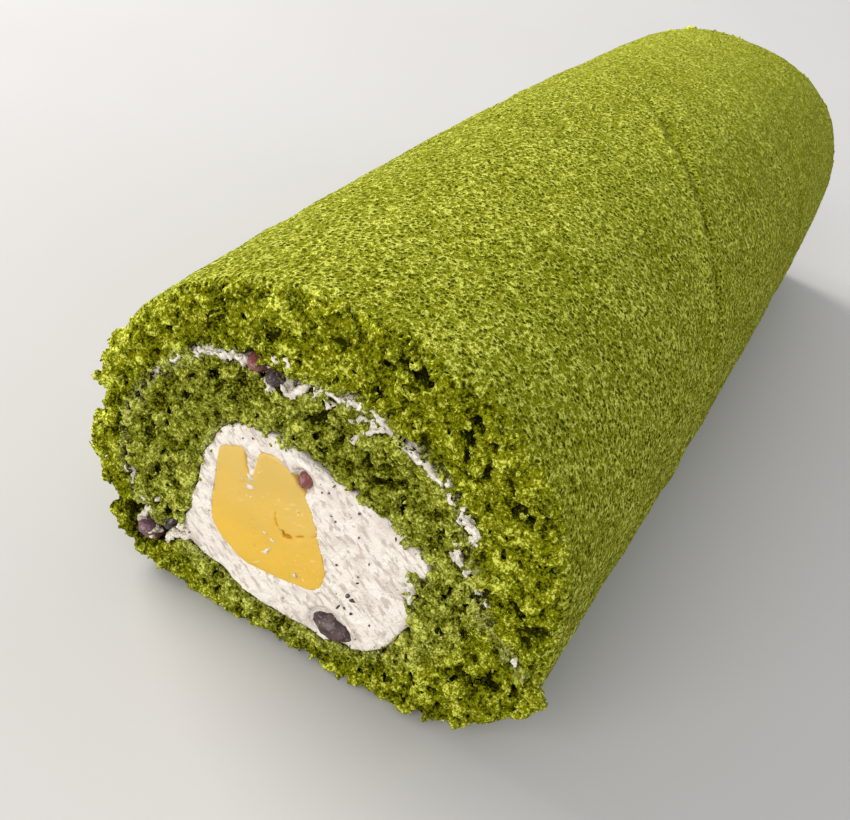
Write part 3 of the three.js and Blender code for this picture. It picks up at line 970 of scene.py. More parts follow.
# where the sheet's two ends part, low on the left, and the pocket behind with its bean
tearOutline = [(-52, 22), (-46.4, 21), (-43.4, 16.2), (-40, 13.3), (-37.8, 12.6), (-35.6, 13.2),
               (-33.8, 14.8), (-31, 16.4), (-27.5, 16.8), (-25.4, 16), (-24.2, 14), (-24, 12.2),
               (-26.6, 9.8), (-28.6, 8.2), (-29.8, 6), (-31.4, 4.8), (-35.2, 5.3), (-36.5, 7),
               (-36.9, 9.4), (-38.9, 11), (-40.3, 10.7), (-41.4, 9.6), (-40.6, 7.8), (-39.1, 5.4),
               (-38, 2.8), (-37, 1), (-37, -2), (-52, -2)]
noTear = [(-60, 30), (-59, 30), (-59, 31)]


def endShapes(strokes, hollows, lumps, tear):  # everything that one cut end is measured from
    turn = evenly(smoothLine(turnLine, 30, closed=False), 460, closed=False)
    return {
        "Outline": loopHelper("outlineShape", rollOutline(260)),
        "Core": loopHelper("coreShape", evenly(smoothLine(coreLine, 8), 220)),
        "Turn": helper("turnShape", turn),
        "Strokes": helper("strokeShape", strokeDots(strokes)),
        "Hollows": helper("hollowShape", joinedDots(hollows)),
        "Lumps": helper("lumpShape", joinedDots(lumps), depths=[dot[2] - 0.5 for dot in joinedDots(lumps)]),
        "Tear": loopHelper("tearShape", smoothLine(tear, 3)),
    }


def endBox(cut, inwards, before, depth, left=-49.5, right=49.5, top=75.0):  # low and high corners, metres
    near, far = cut - inwards * before, cut + inwards * depth
    return Vector((left, min(near, far), 0)) * mm, Vector((right, max(near, far), top)) * mm


def makeCrumb(name, shapes, cut, inwards, voxel, seed, edges):
    tree = bpy.data.node_groups["tornCrumb"]
    for i, (left, right) in enumerate(zip(edges[:-1], edges[1:])):
        low, high = endBox(cut, inwards, 2.6, crumb["depth"] + 1)
        low.x = max(low.x, (left - 1.2 - sectionMiddle) * mm)
        high.x = min(high.x, (right + 1.2 - sectionMiddle) * mm)
        piece = runTree(name + "_" + str(i + 1), tree, {
            "Low": low, "High": high, "Voxel": voxel, "Cut": cut, "Inwards": inwards, "Depth": crumb["depth"],
            "Seed": seed, "Left": left - 0.12, "Right": right + 0.12, "Rim": roll["rimRadius"],
            "Skin start": crumb["skinStart"], "Sunk": crumb["sunk"], "Swell": crumb["swell"],
            "Clumps": crumb["clumps"], "Clump size": crumb["clumpSize"], "Granules": crumb["granules"],
            "Granule size": crumb["granuleSize"], "Grit": crumb["grit"], "Pits": crumb["pits"],
            "Material": crumbMaterial,
            **{label: shape for label, shape in shapes.items() if label != "Strokes"}})
        finish(piece, "sponge")


makeCrumbTree()
frontShapes = endShapes(frontStrokes, frontHollows, frontLumps, tearOutline)
backShapes = endShapes(backStrokes, backHollows, backLumps, noTear)
makeCrumb("crumb_front", frontShapes, -halfLength, 1.0, crumb["frontVoxel"], 3.0, (-60, -27, -6, 14, 31, 60))
makeCrumb("crumb_back", backShapes, halfLength, -1.0, crumb["backVoxel"], 57.0, (-60, -14, 17, 60))


# skin: the baked outer face, in rings along the roll

skin = {
    "columnGap": 0.44,
    "baseGap": 1.6,
    "nearGap": 0.40,
    "farGap": 0.74,
    "wall": 6.0,
    "meanRadius": 34,  # of the section, against which the wall is measured
    "bevel": 6.0,  # how much deeper the wall's inner edge begins
    "dimples": 0.32,
    "pebbles": 0.45,
    "dimpleSize": 3.0,
    "pebbleSize": 1.25,
    "wave": 1.3,
    "waveSize": 17.0,
    "crease": 0.9,
    "creaseStart": -15.0,  # where it crosses the middle of the top
    "creaseSlant": 1.35,
    "creaseWidth": 2.8,
    "foldBehind": 6.0,
    "foldWidth": 4.5,
    "secondCrease": 57.0,
    "secondWidth": 9.0,
    "seam": 0.9,
    "seamHeight": 17.5,
    "seamWidth": 1.6,
    "underCrumb": 1.7,  # how far it sinks under the torn crumb
    "tornCorner": (-44.0, 0.0, 8.0),
    "cornerDrop": 3.8,
    "rings": 3,
}


def skinLoop():  # section points, close together except where the roll rests
    fine = rollOutline(6000)
    gap = np.where(fine[:, 1] < 0.4, skin["baseGap"], skin["columnGap"])
    return evenly(fine, None, spacing=gap)


def skinRows():
    rows = [-halfLength + crumb["skinStart"]]
    while rows[-1] < halfLength - crumb["skinStart"]:
        along = rows[-1] / roll["length"] + 0.5
        rows.append(rows[-1] + skin["nearGap"] + (skin["farGap"] - skin["nearGap"]) * min(1, along * 1.6))
    rows[-1] = halfLength - crumb["skinStart"]
    return np.array(rows)


def tubeMesh(name, rings, smooth):  # rings of points, closed round and lengthwise
    count, columns = rings.shape[:2]
    ring, column = np.meshgrid(np.arange(count), np.arange(columns), indexing="ij")
    after, beside = (ring + 1) % count, (column + 1) % columns
    faces = np.stack([ring * columns + column, ring * columns + beside, after * columns + beside,
                      after * columns + column], -1).reshape(-1, 4)
    mesh = bpy.data.meshes.new(name)
    mesh.vertices.add(count * columns)
    mesh.vertices.foreach_set("co", rings.reshape(-1).astype(np.float32))
    mesh.loops.add(faces.size)
    mesh.loops.foreach_set("vertex_index", faces.reshape(-1).astype(np.int32))
    mesh.polygons.add(len(faces))
    mesh.polygons.foreach_set("loop_start", np.arange(0, faces.size, 4, dtype=np.int32))
    mesh.update(calc_edges=True)
    flatRings = np.repeat(~np.asarray(smooth), columns)
    mesh.attributes.new("sharp_face", "BOOLEAN", "FACE").data.foreach_set("value", flatRings)
    return mesh


def makeSkinTree():
    tree, given, out = newGroup("skinRelief", "GeometryNodeTree", [
        ("Geometry", "Geometry", None), ("Dimples", "Float", 0.4), ("Pebbles", "Float", 0.4),
        ("Crease", "Float", 0.9), ("Seam", "Float", 0.9), ("Rim", "Float", 3.0),
        ("Skin start", "Float", 1.2), ("Material", "Material", None)],
        [("Geometry", "Geometry")])
    shown = fetched(tree, "shown")
    outward = fetched(tree, "outward", "FLOAT_VECTOR")
    point = meshPlace(tree)
    x, y, z = partsOf(tree, point)
    fromEnd = calc(tree, "SUBTRACT", halfLength, calc(tree, "ABSOLUTE", y))
    resting = ramp(tree, z, 0.3, 4.0)  # nothing is pushed where the roll rests

    def pushed(mesh, height):
        amount = calc(tree, "MULTIPLY", calc(tree, "MULTIPLY", height, shown), mm)
        return addNode(tree, "GeometryNodeSetPosition",
                       {"Geometry": mesh, "Offset": scaled(tree, outward, amount)}).outputs[0]

    # the fold that the wrapping left, slanting over the top and down the right side
    slant = calc(tree, "MULTIPLY", x, skin["creaseSlant"])
    sway = calc(tree, "MULTIPLY_ADD", noise(tree, point, 14.0, 1.0), 5.0, slant)
    creaseAt = calc(tree, "ADD", calc(tree, "ADD", y, sway), skin["creaseStart"])
    dip = ramp(tree, calc(tree, "ABSOLUTE", creaseAt), 0.0, skin["creaseWidth"], -1.0, 0.0)
    foldAt = calc(tree, "ABSOLUTE", calc(tree, "ADD", creaseAt, skin["foldBehind"]))
    fold = ramp(tree, foldAt, 0.0, skin["foldWidth"], 0.6, 0.0)
    wrap = calc(tree, "MULTIPLY", calc(tree, "ADD", dip, fold), ramp(tree, x, -8.0, 8.0, 0.1, 1.0))
    secondAt = calc(tree, "ABSOLUTE", calc(tree, "SUBTRACT", y, skin["secondCrease"]))
    second = ramp(tree, secondAt, 0.0, skin["secondWidth"], -0.9, 0.0)
    wrap = calc(tree, "MULTIPLY_ADD", second, ramp(tree, x, 22.0, 40.0), wrap)
    creased = calc(tree, "MULTIPLY", wrap, given["Crease"])
    height = calc(tree, "MULTIPLY_ADD", noise(tree, point, skin["waveSize"], 1.0), skin["wave"], creased)
    # the sheet's outer edge, low on the right side
    right = calc(tree, "GREATER_THAN", x, 20.0)
    uneven = calc(tree, "MULTIPLY_ADD", noise(tree, point, 20.0), 2.5, z)
    seamAt = calc(tree, "ABSOLUTE", calc(tree, "SUBTRACT", uneven, skin["seamHeight"]))
    groove = calc(tree, "MULTIPLY", ramp(tree, seamAt, 0.0, skin["seamWidth"], -1.0, 0.0), right)
    height = calc(tree, "MULTIPLY", calc(tree, "MULTIPLY_ADD", groove, given["Seam"], height), resting)
    # round at the rims, under the torn crumb at the very ends
    rim = rimAt(tree, given["Rim"], z)
    near = calc(tree, "MAXIMUM", calc(tree, "SUBTRACT", rim, fromEnd), 0.0)
    arc = calc(tree, "SUBTRACT", calc(tree, "POWER", rim, 2.0), calc(tree, "POWER", near, 2.0))
    drawnIn = calc(tree, "SUBTRACT", rim, calc(tree, "SQRT", calc(tree, "MAXIMUM", arc, 0.0)))
    height = calc(tree, "SUBTRACT", height, drawnIn)
    beyond = calc(tree, "SUBTRACT", tornEdge(tree, point, given["Skin start"]), fromEnd)
    height = calc(tree, "SUBTRACT", height, ramp(tree, beyond, -0.3, 1.1, 0.0, skin["underCrumb"]))
    # it sinks to the torn corner at the shown end
    corner = vectorCalc(tree, "DISTANCE", vectorOf(tree, X=x, Z=z), skin["tornCorner"])
    drop = ramp(tree, corner, 4.0, 13.0, skin["cornerDrop"], 0.0)
    drop = calc(tree, "MULTIPLY", drop, ramp(tree, y, -124.0, -117.0, 1.0, 0.0))
    mesh = pushed(given["Geometry"], calc(tree, "SUBTRACT", height, drop))
    # small dimples and pebbles, the material draws the finer grain
    dimple = noise(tree, point, skin["dimpleSize"], 1.0)
    fine = calc(tree, "MULTIPLY", dimple, given["Dimples"])
    fine = calc(tree, "MULTIPLY_ADD", noise(tree, point, skin["pebbleSize"]), given["Pebbles"], fine)
    # relief is painted shade for the material: darker in the creases and dimples, lighter on the fold
    relief = calc(tree, "MULTIPLY_ADD", wrap, 0.5, calc(tree, "MULTIPLY", dimple, 1.6))
    mesh = stored(tree, mesh, "relief", relief)
    mesh = pushed(mesh, calc(tree, "MULTIPLY", fine, resting))
    mesh = addNode(tree, "GeometryNodeRealizeInstances", {"Geometry": mesh}).outputs[0]
    withMaterial(tree, given, out, mesh)
    return tree


def makeSkin():
    tree = makeSkinTree()
    loop = skinLoop()
    ahead = np.roll(loop, -1, 0) - np.roll(loop, 1, 0)
    normal = np.stack([ahead[:, 1], -ahead[:, 0]], 1)
    normal /= np.linalg.norm(normal, axis=1)[:, None]
    rows = skinRows()
    print("skin:", len(loop), "columns,", len(rows), "rows")
    middle = np.array([sectionMiddle, roll["height"] * 0.45])
    inner = middle + (loop - middle) * (1 - skin["wall"] / skin["meanRadius"])
    outward = np.stack([normal[:, 0], 0 * normal[:, 0], normal[:, 1]], 1)
    cuts = np.linspace(0, len(rows) - 1, skin["rings"] + 1).round().astype(int)
    for i, (first, last) in enumerate(zip(cuts[:-1], cuts[1:])):
        part = rows[first:last + 1]
        rings = [intoRoll(loop[:, 0], y, loop[:, 1]) for y in part]
        near = part[0] + skin["bevel"] * (i == 0)
        far = part[-1] - skin["bevel"] * (i == skin["rings"] - 1)
        rings += [intoRoll(inner[:, 0], far, inner[:, 1]), intoRoll(inner[:, 0], near, inner[:, 1])]
        smooth = [True] * (len(part) - 1) + [False, False, False]
        mesh = tubeMesh("skinStart", np.array(rings), smooth)
        count = len(loop)
        setValues(mesh, "shown", np.concatenate([np.ones(len(part) * count), np.zeros(2 * count)]))
        spread = np.tile(outward, (len(rings), 1)).astype(np.float32)
        mesh.attributes.new("outward", "FLOAT_VECTOR", "POINT").data.foreach_set("vector", spread.reshape(-1))
        piece = runTree("skin_" + str(i + 1), tree, {
            "Dimples": skin["dimples"], "Pebbles": skin["pebbles"], "Crease": skin["crease"],
            "Seam": skin["seam"], "Rim": roll["rimRadius"], "Skin start": crumb["skinStart"],
            "Material": skinMaterial}, mesh)
        for label in ("shown", "outward"):
            piece.data.attributes.remove(piece.data.attributes[label])
        finish(piece, "sponge")


makeSkin()


# filling: whipped cream, and the chestnut bar in it

chestnutLine = [(-19.7, 36.1), (-17.4, 38), (-14.9, 39.2), (-14.2, 37.6), (-13.2, 35), (-12.4, 34.4),
                (-12, 37), (-11.7, 39.3), (-9.3, 40.2), (-6.5, 39.6), (-4.3, 37.9), (-1.7, 35),
                (0, 32.7), (1.5, 30.2), (1.9, 28.4), (3.4, 25.6), (4.6, 22.4), (4.8, 20), (4.2, 17.4),
                (3, 16.4), (0.5, 15.6), (-3.6, 14.9), (-8.2, 14.4), (-11.1, 14.6), (-13.9, 16.1),
                (-17.1, 17.8), (-19.2, 20.1), (-20, 24), (-19.9, 27.9), (-19.8, 31.1)]
chestnutDrift = {"x": 2.6, "z": -0.8, "turn": -0.3, "about": (-8.5, 27.5)}
frontCracks = [
    ([(-6.9, 29.2), (-5.9, 26.6), (-4.3, 25.5)], 0.08, 0),
    ([(-4.8, 25.8), (-4, 25.4), (-3.0, 25.7)], 0.45, 0),
    ([(-3.0, 25.7), (-0.3, 27.5), (1.9, 28.8)], 0.08, 0),
]
backCracks = [
    ([(-2.4, 33.4), (-4.6, 29.6), (-9.4, 27.4)], 0.25, 0),
    ([(-12.6, 22.2), (-10.4, 22.8)], 0.6, 0),
]
frontSmears = [
    ([(-8.3, 25.4), (-8.1, 23.8)], 0.26, 0),
    ([(-7.2, 23.2), (-6.1, 22.7)], 0.16, 0),
    ([(-8.8, 19.6), (-7.6, 19.1), (-6.4, 21.1)], 0.22, 0),
    ([(-7.6, 18.4), (-6.6, 19), (-5.8, 20.4)], 0.16, 0),
    ([(-0.8, 17.9), (-0.3, 17.7)], 0.24, 0),
    ([(-13.9, 32.6), (-12.6, 31.6), (-12.1, 31.9)], 0.4, 0),
    ([(-13.1, 34), (-12.3, 33.4)], 0.5, 0),
    ([(-14.3, 34.4), (-14.1, 33.6)], 0.2, 0),
    ([(-1.1, 37), (-0.5, 36), (-0.2, 34.8)], 0.25, 0),
    ([(3.4, 16.6), (4.4, 17.6)], 0.3, 0),
]
backSmears = [
    ([(-12, 30), (-9.6, 31.2)], 0.45, 0),
    ([(-4, 21), (-2.6, 22.6)], 0.4, 0),
]

# where the cream lies lower round a bean: x, z, radius, how much lower
beanPockets = {
    "Front": [(6.2, 10.9, 2.9, 0.8), (9.6, 9.8, 2.9, 0.7), (-2.9, 37.6, 1.9, 1.1), (-2.9, 38.8, 1.9, 1.1)],
    "Back": [(14.6, 31.5, 3, 0.8), (14.6, 16.6, 2.6, 0.8)],
}

filling = {
    "frontVoxel": 0.275,
    "backVoxel": 0.43,
    "depth": 5.5,
    "smears": 1.0,
    "ripples": 0.6,
    "bubbles": 0.6,
    "bubbleSize": 2.0,
    "drawn": 0.35,  # width of a smear as a share of its length
    "smearSize": 2.1,
    "waveSize": 8.0,
    "wave": 1.1,
    "rippleSize": 0.75,
    "overCrumb": 0.3,  # how far the core reaches over the crumb's edge
    "pocketEdge": 1.2,
    "strokeThin": 0.19,
    "strokeProud": 0.35,
    "adaptivity": 0.16,
    "leastGrain": 24.0,
    "chestnutProud": 0.15,
    "chestnutLeast": 40.0,
    "chestnutAdaptivity": 0.03,
    "stations": 14,  # sections along the roll
}


def makeCreamTree():
    tree, given, out = newGroup("whippedEnd", "GeometryNodeTree", endSockets + [
        ("Smears", "Float", 0.7), ("Ripples", "Float", 0.4), ("Bubbles", "Float", 0.5),
        ("Bubble size", "Float", 2.0), ("Core", "Object", None), ("Turn", "Object", None),
        ("Strokes", "Object", None), ("Chestnut", "Object", None), ("Smear dots", "Object", None),
        ("Pockets", "Object", None), ("Material", "Material", None)],
        [("Geometry", "Geometry")])
    flat, inside, _, place = useSection(tree, given)
    core = calc(tree, "ADD", useArea(tree, given["Core"], flat), filling["overCrumb"])
    turn = useDots(tree, given["Turn"], flat)
    # the knife drew the cream out along its own way
    turned = turnedAbout(tree, place, creamLook["drawnTurn"])
    drawn = vectorCalc(tree, "MULTIPLY", turned, (1.0, 1.0, filling["drawn"]))
    smear = calc(tree, "MULTIPLY", noise(tree, drawn, filling["smearSize"], 1.0, 0.8), given["Smears"])
    broad = calc(tree, "MULTIPLY", noise(tree, place, filling["waveSize"], 0.0), filling["wave"])
    ripple = calc(tree, "MULTIPLY", noise(tree, place, filling["rippleSize"], 1.0), given["Ripples"])
    relief = calc(tree, "ADD", calc(tree, "ADD", smear, ripple), broad)
    hole = cells(tree, warped(tree, place, 1.2, 0.7), given["Bubble size"])["Distance"]
    chosen = ramp(tree, noise(tree, place, 4.0), 0.0, 0.14)
    bubble = calc(tree, "MULTIPLY", ramp(tree, hole, 0.05, 0.24, 1.0, 0.0), chosen)
    relief = calc(tree, "SUBTRACT", relief, calc(tree, "MULTIPLY", bubble, given["Bubbles"]))
    face = calc(tree, "ADD", inside, relief)
    pocket = useDots(tree, given["Pockets"], flat)  # it lies lower round a bean
    lower = calc(tree, "MULTIPLY", ramp(tree, pocket["Depth"], -0.7, 0.5), pocket["Back"])
    face = calc(tree, "SUBTRACT", face, lower)
    coreFill = calc(tree, "SMOOTH_MIN", core, face, filling["pocketEdge"])
    thin = calc(tree, "ADD", turn["Depth"], calc(tree, "MULTIPLY", ripple, 1.6))
    turnFill = calc(tree, "MINIMUM", thin, calc(tree, "SUBTRACT", face, turn["Back"]))
    # the strokes along it are ragged and broken
    rippled = calc(tree, "MULTIPLY", ripple, 1.4)
    ragged = calc(tree, "MULTIPLY_ADD", noise(tree, place, 1.5, 0.0, 0.5), 1.5, rippled)
    ragged = calc(tree, "MULTIPLY_ADD", noise(tree, place, 0.6), 1.7, ragged)
    stroke = useDots(tree, given["Strokes"], flat)
    strokeBack = calc(tree, "SUBTRACT", stroke["Back"], filling["strokeProud"])
    strokeFace = calc(tree, "MULTIPLY_ADD", ragged, 0.6, calc(tree, "SUBTRACT", inside, strokeBack))
    strokeSide = calc(tree, "SUBTRACT", calc(tree, "ADD", stroke["Depth"], ragged), filling["strokeThin"])
    strokeFill = calc(tree, "MINIMUM", strokeSide, strokeFace)
    turnFill = calc(tree, "MAXIMUM", turnFill, strokeFill)
    density = calc(tree, "SMOOTH_MAX", coreFill, turnFill, 0.5)
    room = calc(tree, "SUBTRACT", 0.2, useArea(tree, given["Chestnut"], flat))
    density = calc(tree, "MINIMUM", density, room)
    raised = vectorCalc(tree, "ADD", flat, vectorOf(tree, Y=calc(tree, "ADD", inside, 0.1)))
    dab = useDots(tree, given["Smear dots"], raised)["Depth"]
    dab = calc(tree, "ADD", dab, calc(tree, "MULTIPLY", ragged, 0.5))
    density = calc(tree, "SMOOTH_MAX", density, dab, 0.3)
    density = calc(tree, "MINIMUM", density, calc(tree, "SUBTRACT", given["Depth"], inside))
    mesh = largeIslands(tree, endVolume(tree, given, density, filling["adaptivity"]), filling["leastGrain"])
    # painted shade mask: how far behind the cut the cream lies, drawn greyer by the material
    mesh = stored(tree, mesh, "hollow", calc(tree, "MAXIMUM", calc(tree, "SUBTRACT", inside, 0.25), 0.0))
    mesh = stored(tree, mesh, "thin", ramp(tree, core, -1.4, -0.2, 1.0, 0.0))
    closeTree(tree, given, out, mesh)
    return tree


def makeChestnutTree():
    tree, given, out = newGroup("chestnutEnd", "GeometryNodeTree", endSockets + [
        ("Chestnut", "Object", None), ("Cracks", "Object", None), ("Proud", "Float", 0.15),
        ("Material", "Material", None)], [("Geometry", "Geometry")])
    flat, inside, _, place = useSection(tree, given)
    side = calc(tree, "MULTIPLY_ADD", noise(tree, place, 1.6, 1.0), 0.5,
                useArea(tree, given["Chestnut"], flat))
    face = calc(tree, "ADD", inside, given["Proud"])
    face = calc(tree, "MULTIPLY_ADD", noise(tree, place, 6.0, 0.0), 1.3, face)
    face = calc(tree, "MULTIPLY_ADD", noise(tree, place, 1.5, 2.0), 0.35, face)
    density = calc(tree, "SMOOTH_MIN", side, face, 0.9)
    low = vectorCalc(tree, "ADD", flat, vectorOf(tree, Y=calc(tree, "MULTIPLY", inside, 0.3)))
    crack = calc(tree, "MULTIPLY_ADD", noise(tree, place, 0.8), 0.3,
                 useDots(tree, given["Cracks"], low)["Depth"])
    density = carved(tree, density, crack, 0.25)
    density = calc(tree, "MINIMUM", density, calc(tree, "SUBTRACT", given["Depth"], inside))
    mesh = endVolume(tree, given, density, filling["chestnutAdaptivity"])
    mesh = largeIslands(tree, mesh, filling["chestnutLeast"])
    # painted shade mask along the cracks
    mesh = stored(tree, mesh, "hollow", ramp(tree, crack, -0.22, 0.05))
    closeTree(tree, given, out, mesh)
    return tree


def drifted(points, share):  # the chestnut's outline where it has wandered a share of the way
    x0, z0 = chestnutDrift["about"]
    turn = chestnutDrift["turn"] * share
    x, z = points[:, 0] - x0, points[:, 1] - z0
    return np.stack([x0 + chestnutDrift["x"] * share + x * math.cos(turn) - z * math.sin(turn),
                     z0 + chestnutDrift["z"] * share + x * math.sin(turn) + z * math.cos(turn)], 1)


def movedStrokes(strokes, share):
    made = []
    for points, half, back in strokes:
        made.append((drifted(np.array(points, float), share).tolist(), half, back))
    return made


def prismMesh(name, sections, material, hole=None):  # a closed prism through rings of points
    rings = np.array(sections if hole is None else list(sections) + list(hole)[::-1])
    count = rings.shape[1]
    if hole is not None:
        mesh = tubeMesh(name, rings, [False] * len(rings))
    else:
        turns = len(rings)
        faces = []
        for first in range(0, (turns - 1) * count, count):
            for i in range(count):
                beside = (i + 1) % count
                faces.append([first + i, first + beside, first + count + beside, first + count + i])
        faces += [list(range(count))[::-1], list(range((turns - 1) * count, turns * count))]
        mesh = bpy.data.meshes.new(name)
        mesh.from_pydata(rings.reshape(-1, 3).tolist(), [], faces)
    mesh.materials.append(material)
    return linked(name, mesh)


def fromAngle(loop, count, middle):  # the loop's points again, starting straight out from a middle
    loop = evenly(loop, count * 8)
    angle = np.unwrap(np.arctan2(loop[:, 1] - middle[1], loop[:, 0] - middle[0]))
    first = int(np.argmin(np.abs(np.angle(np.exp(1j * angle)))))
    return np.roll(loop, -first, 0)[::8]


def makeFilling():
    creamTree, chestnutTree = makeCreamTree(), makeChestnutTree()
    nut = smoothLine(chestnutLine, 5)
    inner = halfLength - filling["depth"] + 0.6
    stations = np.linspace(-inner, inner, filling["stations"])
    core = evenly(smoothLine(coreLine, 8), 120)
    creamParts, nutParts = [], []
    for name, shapes, cracks, smears, cut, inwards, voxel, seed, share in (
            ("Front", frontShapes, frontCracks, frontSmears, -halfLength, 1.0,
             filling["frontVoxel"], 11.0, 0.0),
            ("Back", backShapes, backCracks, backSmears, halfLength, -1.0,
             filling["backVoxel"], 71.0, 1.0)):
        here = drifted(nut, share)
        nutShape = loopHelper("nutShape" + name, here)
        crackShape = helper("crackShape" + name, strokeDots(movedStrokes(cracks, share), 0.15))
        dabShape = helper("dabShape" + name, strokeDots(movedStrokes(smears, share), 0.2))
        pocketShape = helper("pocketShape" + name, beanPockets[name])
        common = {"Voxel": voxel, "Cut": cut, "Inwards": inwards, "Depth": filling["depth"], "Seed": seed,
                  "Chestnut": nutShape}
        low, high = endBox(cut, inwards, 2.0, filling["depth"] + 0.8, -43, 50, 62)
        low.z = 5 * mm
        creamParts.append(runTree("cream" + name, creamTree, {
            **common, "Low": low, "High": high, "Smears": filling["smears"], "Ripples": filling["ripples"],
            "Bubbles": filling["bubbles"], "Bubble size": filling["bubbleSize"], "Core": shapes["Core"],
            "Turn": shapes["Turn"], "Strokes": shapes["Strokes"], "Smear dots": dabShape,
            "Pockets": pocketShape, "Material": creamMaterial}))
        low, high = endBox(cut, inwards, 2.0, filling["depth"] + 0.8, -25, 12, 45)
        low.z = 10 * mm
        nutParts.append(runTree("nut" + name, chestnutTree, {
            **common, "Voxel": voxel * 0.9, "Low": low, "High": high, "Cracks": crackShape,
            "Proud": filling["chestnutProud"], "Material": chestnutMaterial}))
        for shape in (nutShape, crackShape, dabShape, pocketShape):
            bpy.data.objects.remove(shape)
    # between the ends: the core round the bar, the layer between the turns, and the bar itself
    middle = chestnutDrift["about"]
    outer = [intoRoll(p[:, 0], y, p[:, 1]) for y in stations for p in [fromAngle(core, 120, middle)]]
    bore = []
    for y in stations:
        around = fromAngle(drifted(nut, y / roll["length"] + 0.5), 120, middle)
        bore.append(intoRoll(around[:, 0], y, around[:, 1]))
    creamParts.append(prismMesh("creamMiddle", outer, creamMaterial, bore))
    band = evenly(smoothLine(turnLine, 10, closed=False), 90, closed=False)[:86]
    ahead = np.gradient(band[:, :2], axis=0)
    normal = np.stack([-ahead[:, 1], ahead[:, 0]], 1) / np.linalg.norm(ahead, axis=1)[:, None]
    strip = np.vstack([band[:, :2] + normal * band[:, 2:3], (band[:, :2] - normal * band[:, 2:3])[::-1]])
    creamParts.append(prismMesh("creamTurn", [intoRoll(strip[:, 0], y, strip[:, 1]) for y in stations],
                                creamMaterial))
    bars = []
    for y in stations:
        around = drifted(nut, y / roll["length"] + 0.5)
        shrunk = around + (np.array(middle) - around) * 0.01
        bars.append(intoRoll(shrunk[:, 0], y, shrunk[:, 1]))
    nutParts.append(prismMesh("nutMiddle", bars, chestnutMaterial))
    finish(joined("whipped_cream", creamParts), "cream")
    finish(joined("chestnut_bar", nutParts), "chestnut")


makeFilling()


# beans: whole red beans where the cuts show them

beans = {
    "halfLength": 3.4,
    "wrinkle": 0.34,
    "front": [
        (8.2, 10.3, 9.1, 5.9, -8, "dark", 1.3), (-2.9, 38.2, 2.8, 4.2, 24, "red", 0.8),
        (-15.3, 55.5, 4.2, 2.9, -14, "red", 1.1), (-11.7, 54.6, 4.0, 3.6, -20, "dark", 1.1),
        (-33.6, 7.6, 6.2, 3.7, -25, "purple", -0.1), (-28.4, 12.6, 2.6, 5.2, -28, "dark", 0.1),
    ],
    "back": [
        (-14.5, 10.9, 5.6, 3.6, 6, "purple", 0.9), (14.6, 31.5, 6.8, 5.4, -24, "dark", 1.0),
        (10.2, 56, 5, 3.4, -22, "red", 0.8), (-37.4, 36.4, 3.2, 5.2, -18, "dark", 0.7),
        (14.6, 16.6, 4.4, 5, 30, "red", 0.9),
    ],
}


def makeBean(name, bean, y, outwards, node, seed):
    x, z, width, height, lean, shade, proud = bean
    mesh = bpy.data.meshes.new(name)
    form = bmesh.new()
    bmesh.ops.create_icosphere(form, subdivisions=4, radius=1)
    lean = math.radians(lean)
    scale = sectionScale(y)
    for point in form.verts:
        way = point.co.copy()
        full = 1 - 0.10 * abs(way.x) ** 3  # blunt ends
        dent = 0.12 * math.exp(-((way.x * 1.6) ** 2 + (way.z - 1) ** 2 * 5))  # the eye, on its upper side
        rough = solidNoise.fractal(way * 2.2 + Vector((seed, 0, 0)), 0.6, 2.2, 4)
        grow = 1 + beans["wrinkle"] * 0.25 * rough - dent
        a, b = way.x * width / 2 * grow, way.z * height / 2 * grow * full
        c = way.y * beans["halfLength"] * grow
        point.co = Vector(((x + a * math.cos(lean) - b * math.sin(lean) - sectionMiddle) * scale,
                           y + outwards * (proud - beans["halfLength"]) + c,
                           (z + a * math.sin(lean) + b * math.cos(lean)) * scale)) * mm
    form.to_mesh(mesh)
    form.free()
    for face in mesh.polygons:
        face.use_smooth = True
    mesh.materials.append(beanMaterials[shade])
    finish(linked(name, mesh), node)


for i, bean in enumerate(beans["front"]):
    makeBean("red_bean_front_" + str(i + 1), bean, -halfLength, -1, "bean_front_" + str(i + 1), i * 7.0)
for i, bean in enumerate(beans["back"]):
    makeBean("red_bean_back_" + str(i + 1), bean, halfLength, 1, "bean_back_" + str(i + 1), 50 + i * 7.0)


# flecks of bean skin in the cream, and loose crumbs where the sponge was cut

scatter = {
    "flecks": [(2.9, 33.3, 0.5), (3.5, 34.4, 0.35), (4.4, 33.9, 0.6), (4.0, 32.5, 0.45),
               (15.3, 36.6, 0.5), (9.7, 19.7, 0.55), (10.8, 19.2, 0.7), (8.4, 16, 0.6),
               (9.6, 16.6, 0.45), (11.1, 16.2, 0.6), (10.7, 25, 0.3), (10.9, 23.5, 0.35),
               (2.1, 38.7, 0.4), (2.7, 40.5, 0.35), (12, 28.8, 0.3), (9.1, 33.1, 0.25),
               (12.9, 32.1, 0.25), (-15.4, 40.6, 0.3), (-13.5, 41.6, 0.35), (5.8, 20.4, 0.3),
               (14.1, 33.6, 0.3), (17.5, 30.1, 0.3), (14.9, 15.9, 0.3), (-18.4, 18, 0.45),
               (-20, 38.6, 0.25), (0.4, 39.4, 0.5), (0.8, 38.2, 0.3), (-7.6, 56.1, 0.8),
               (-23.4, 14, 0.3), (12.6, 12.6, 0.6), (13.1, 11.4, 0.4), (6.8, 36.2, 0.3)],
    "small": 44,
    "crumbs": 70,
    "strokeCrumbs": 90,
}


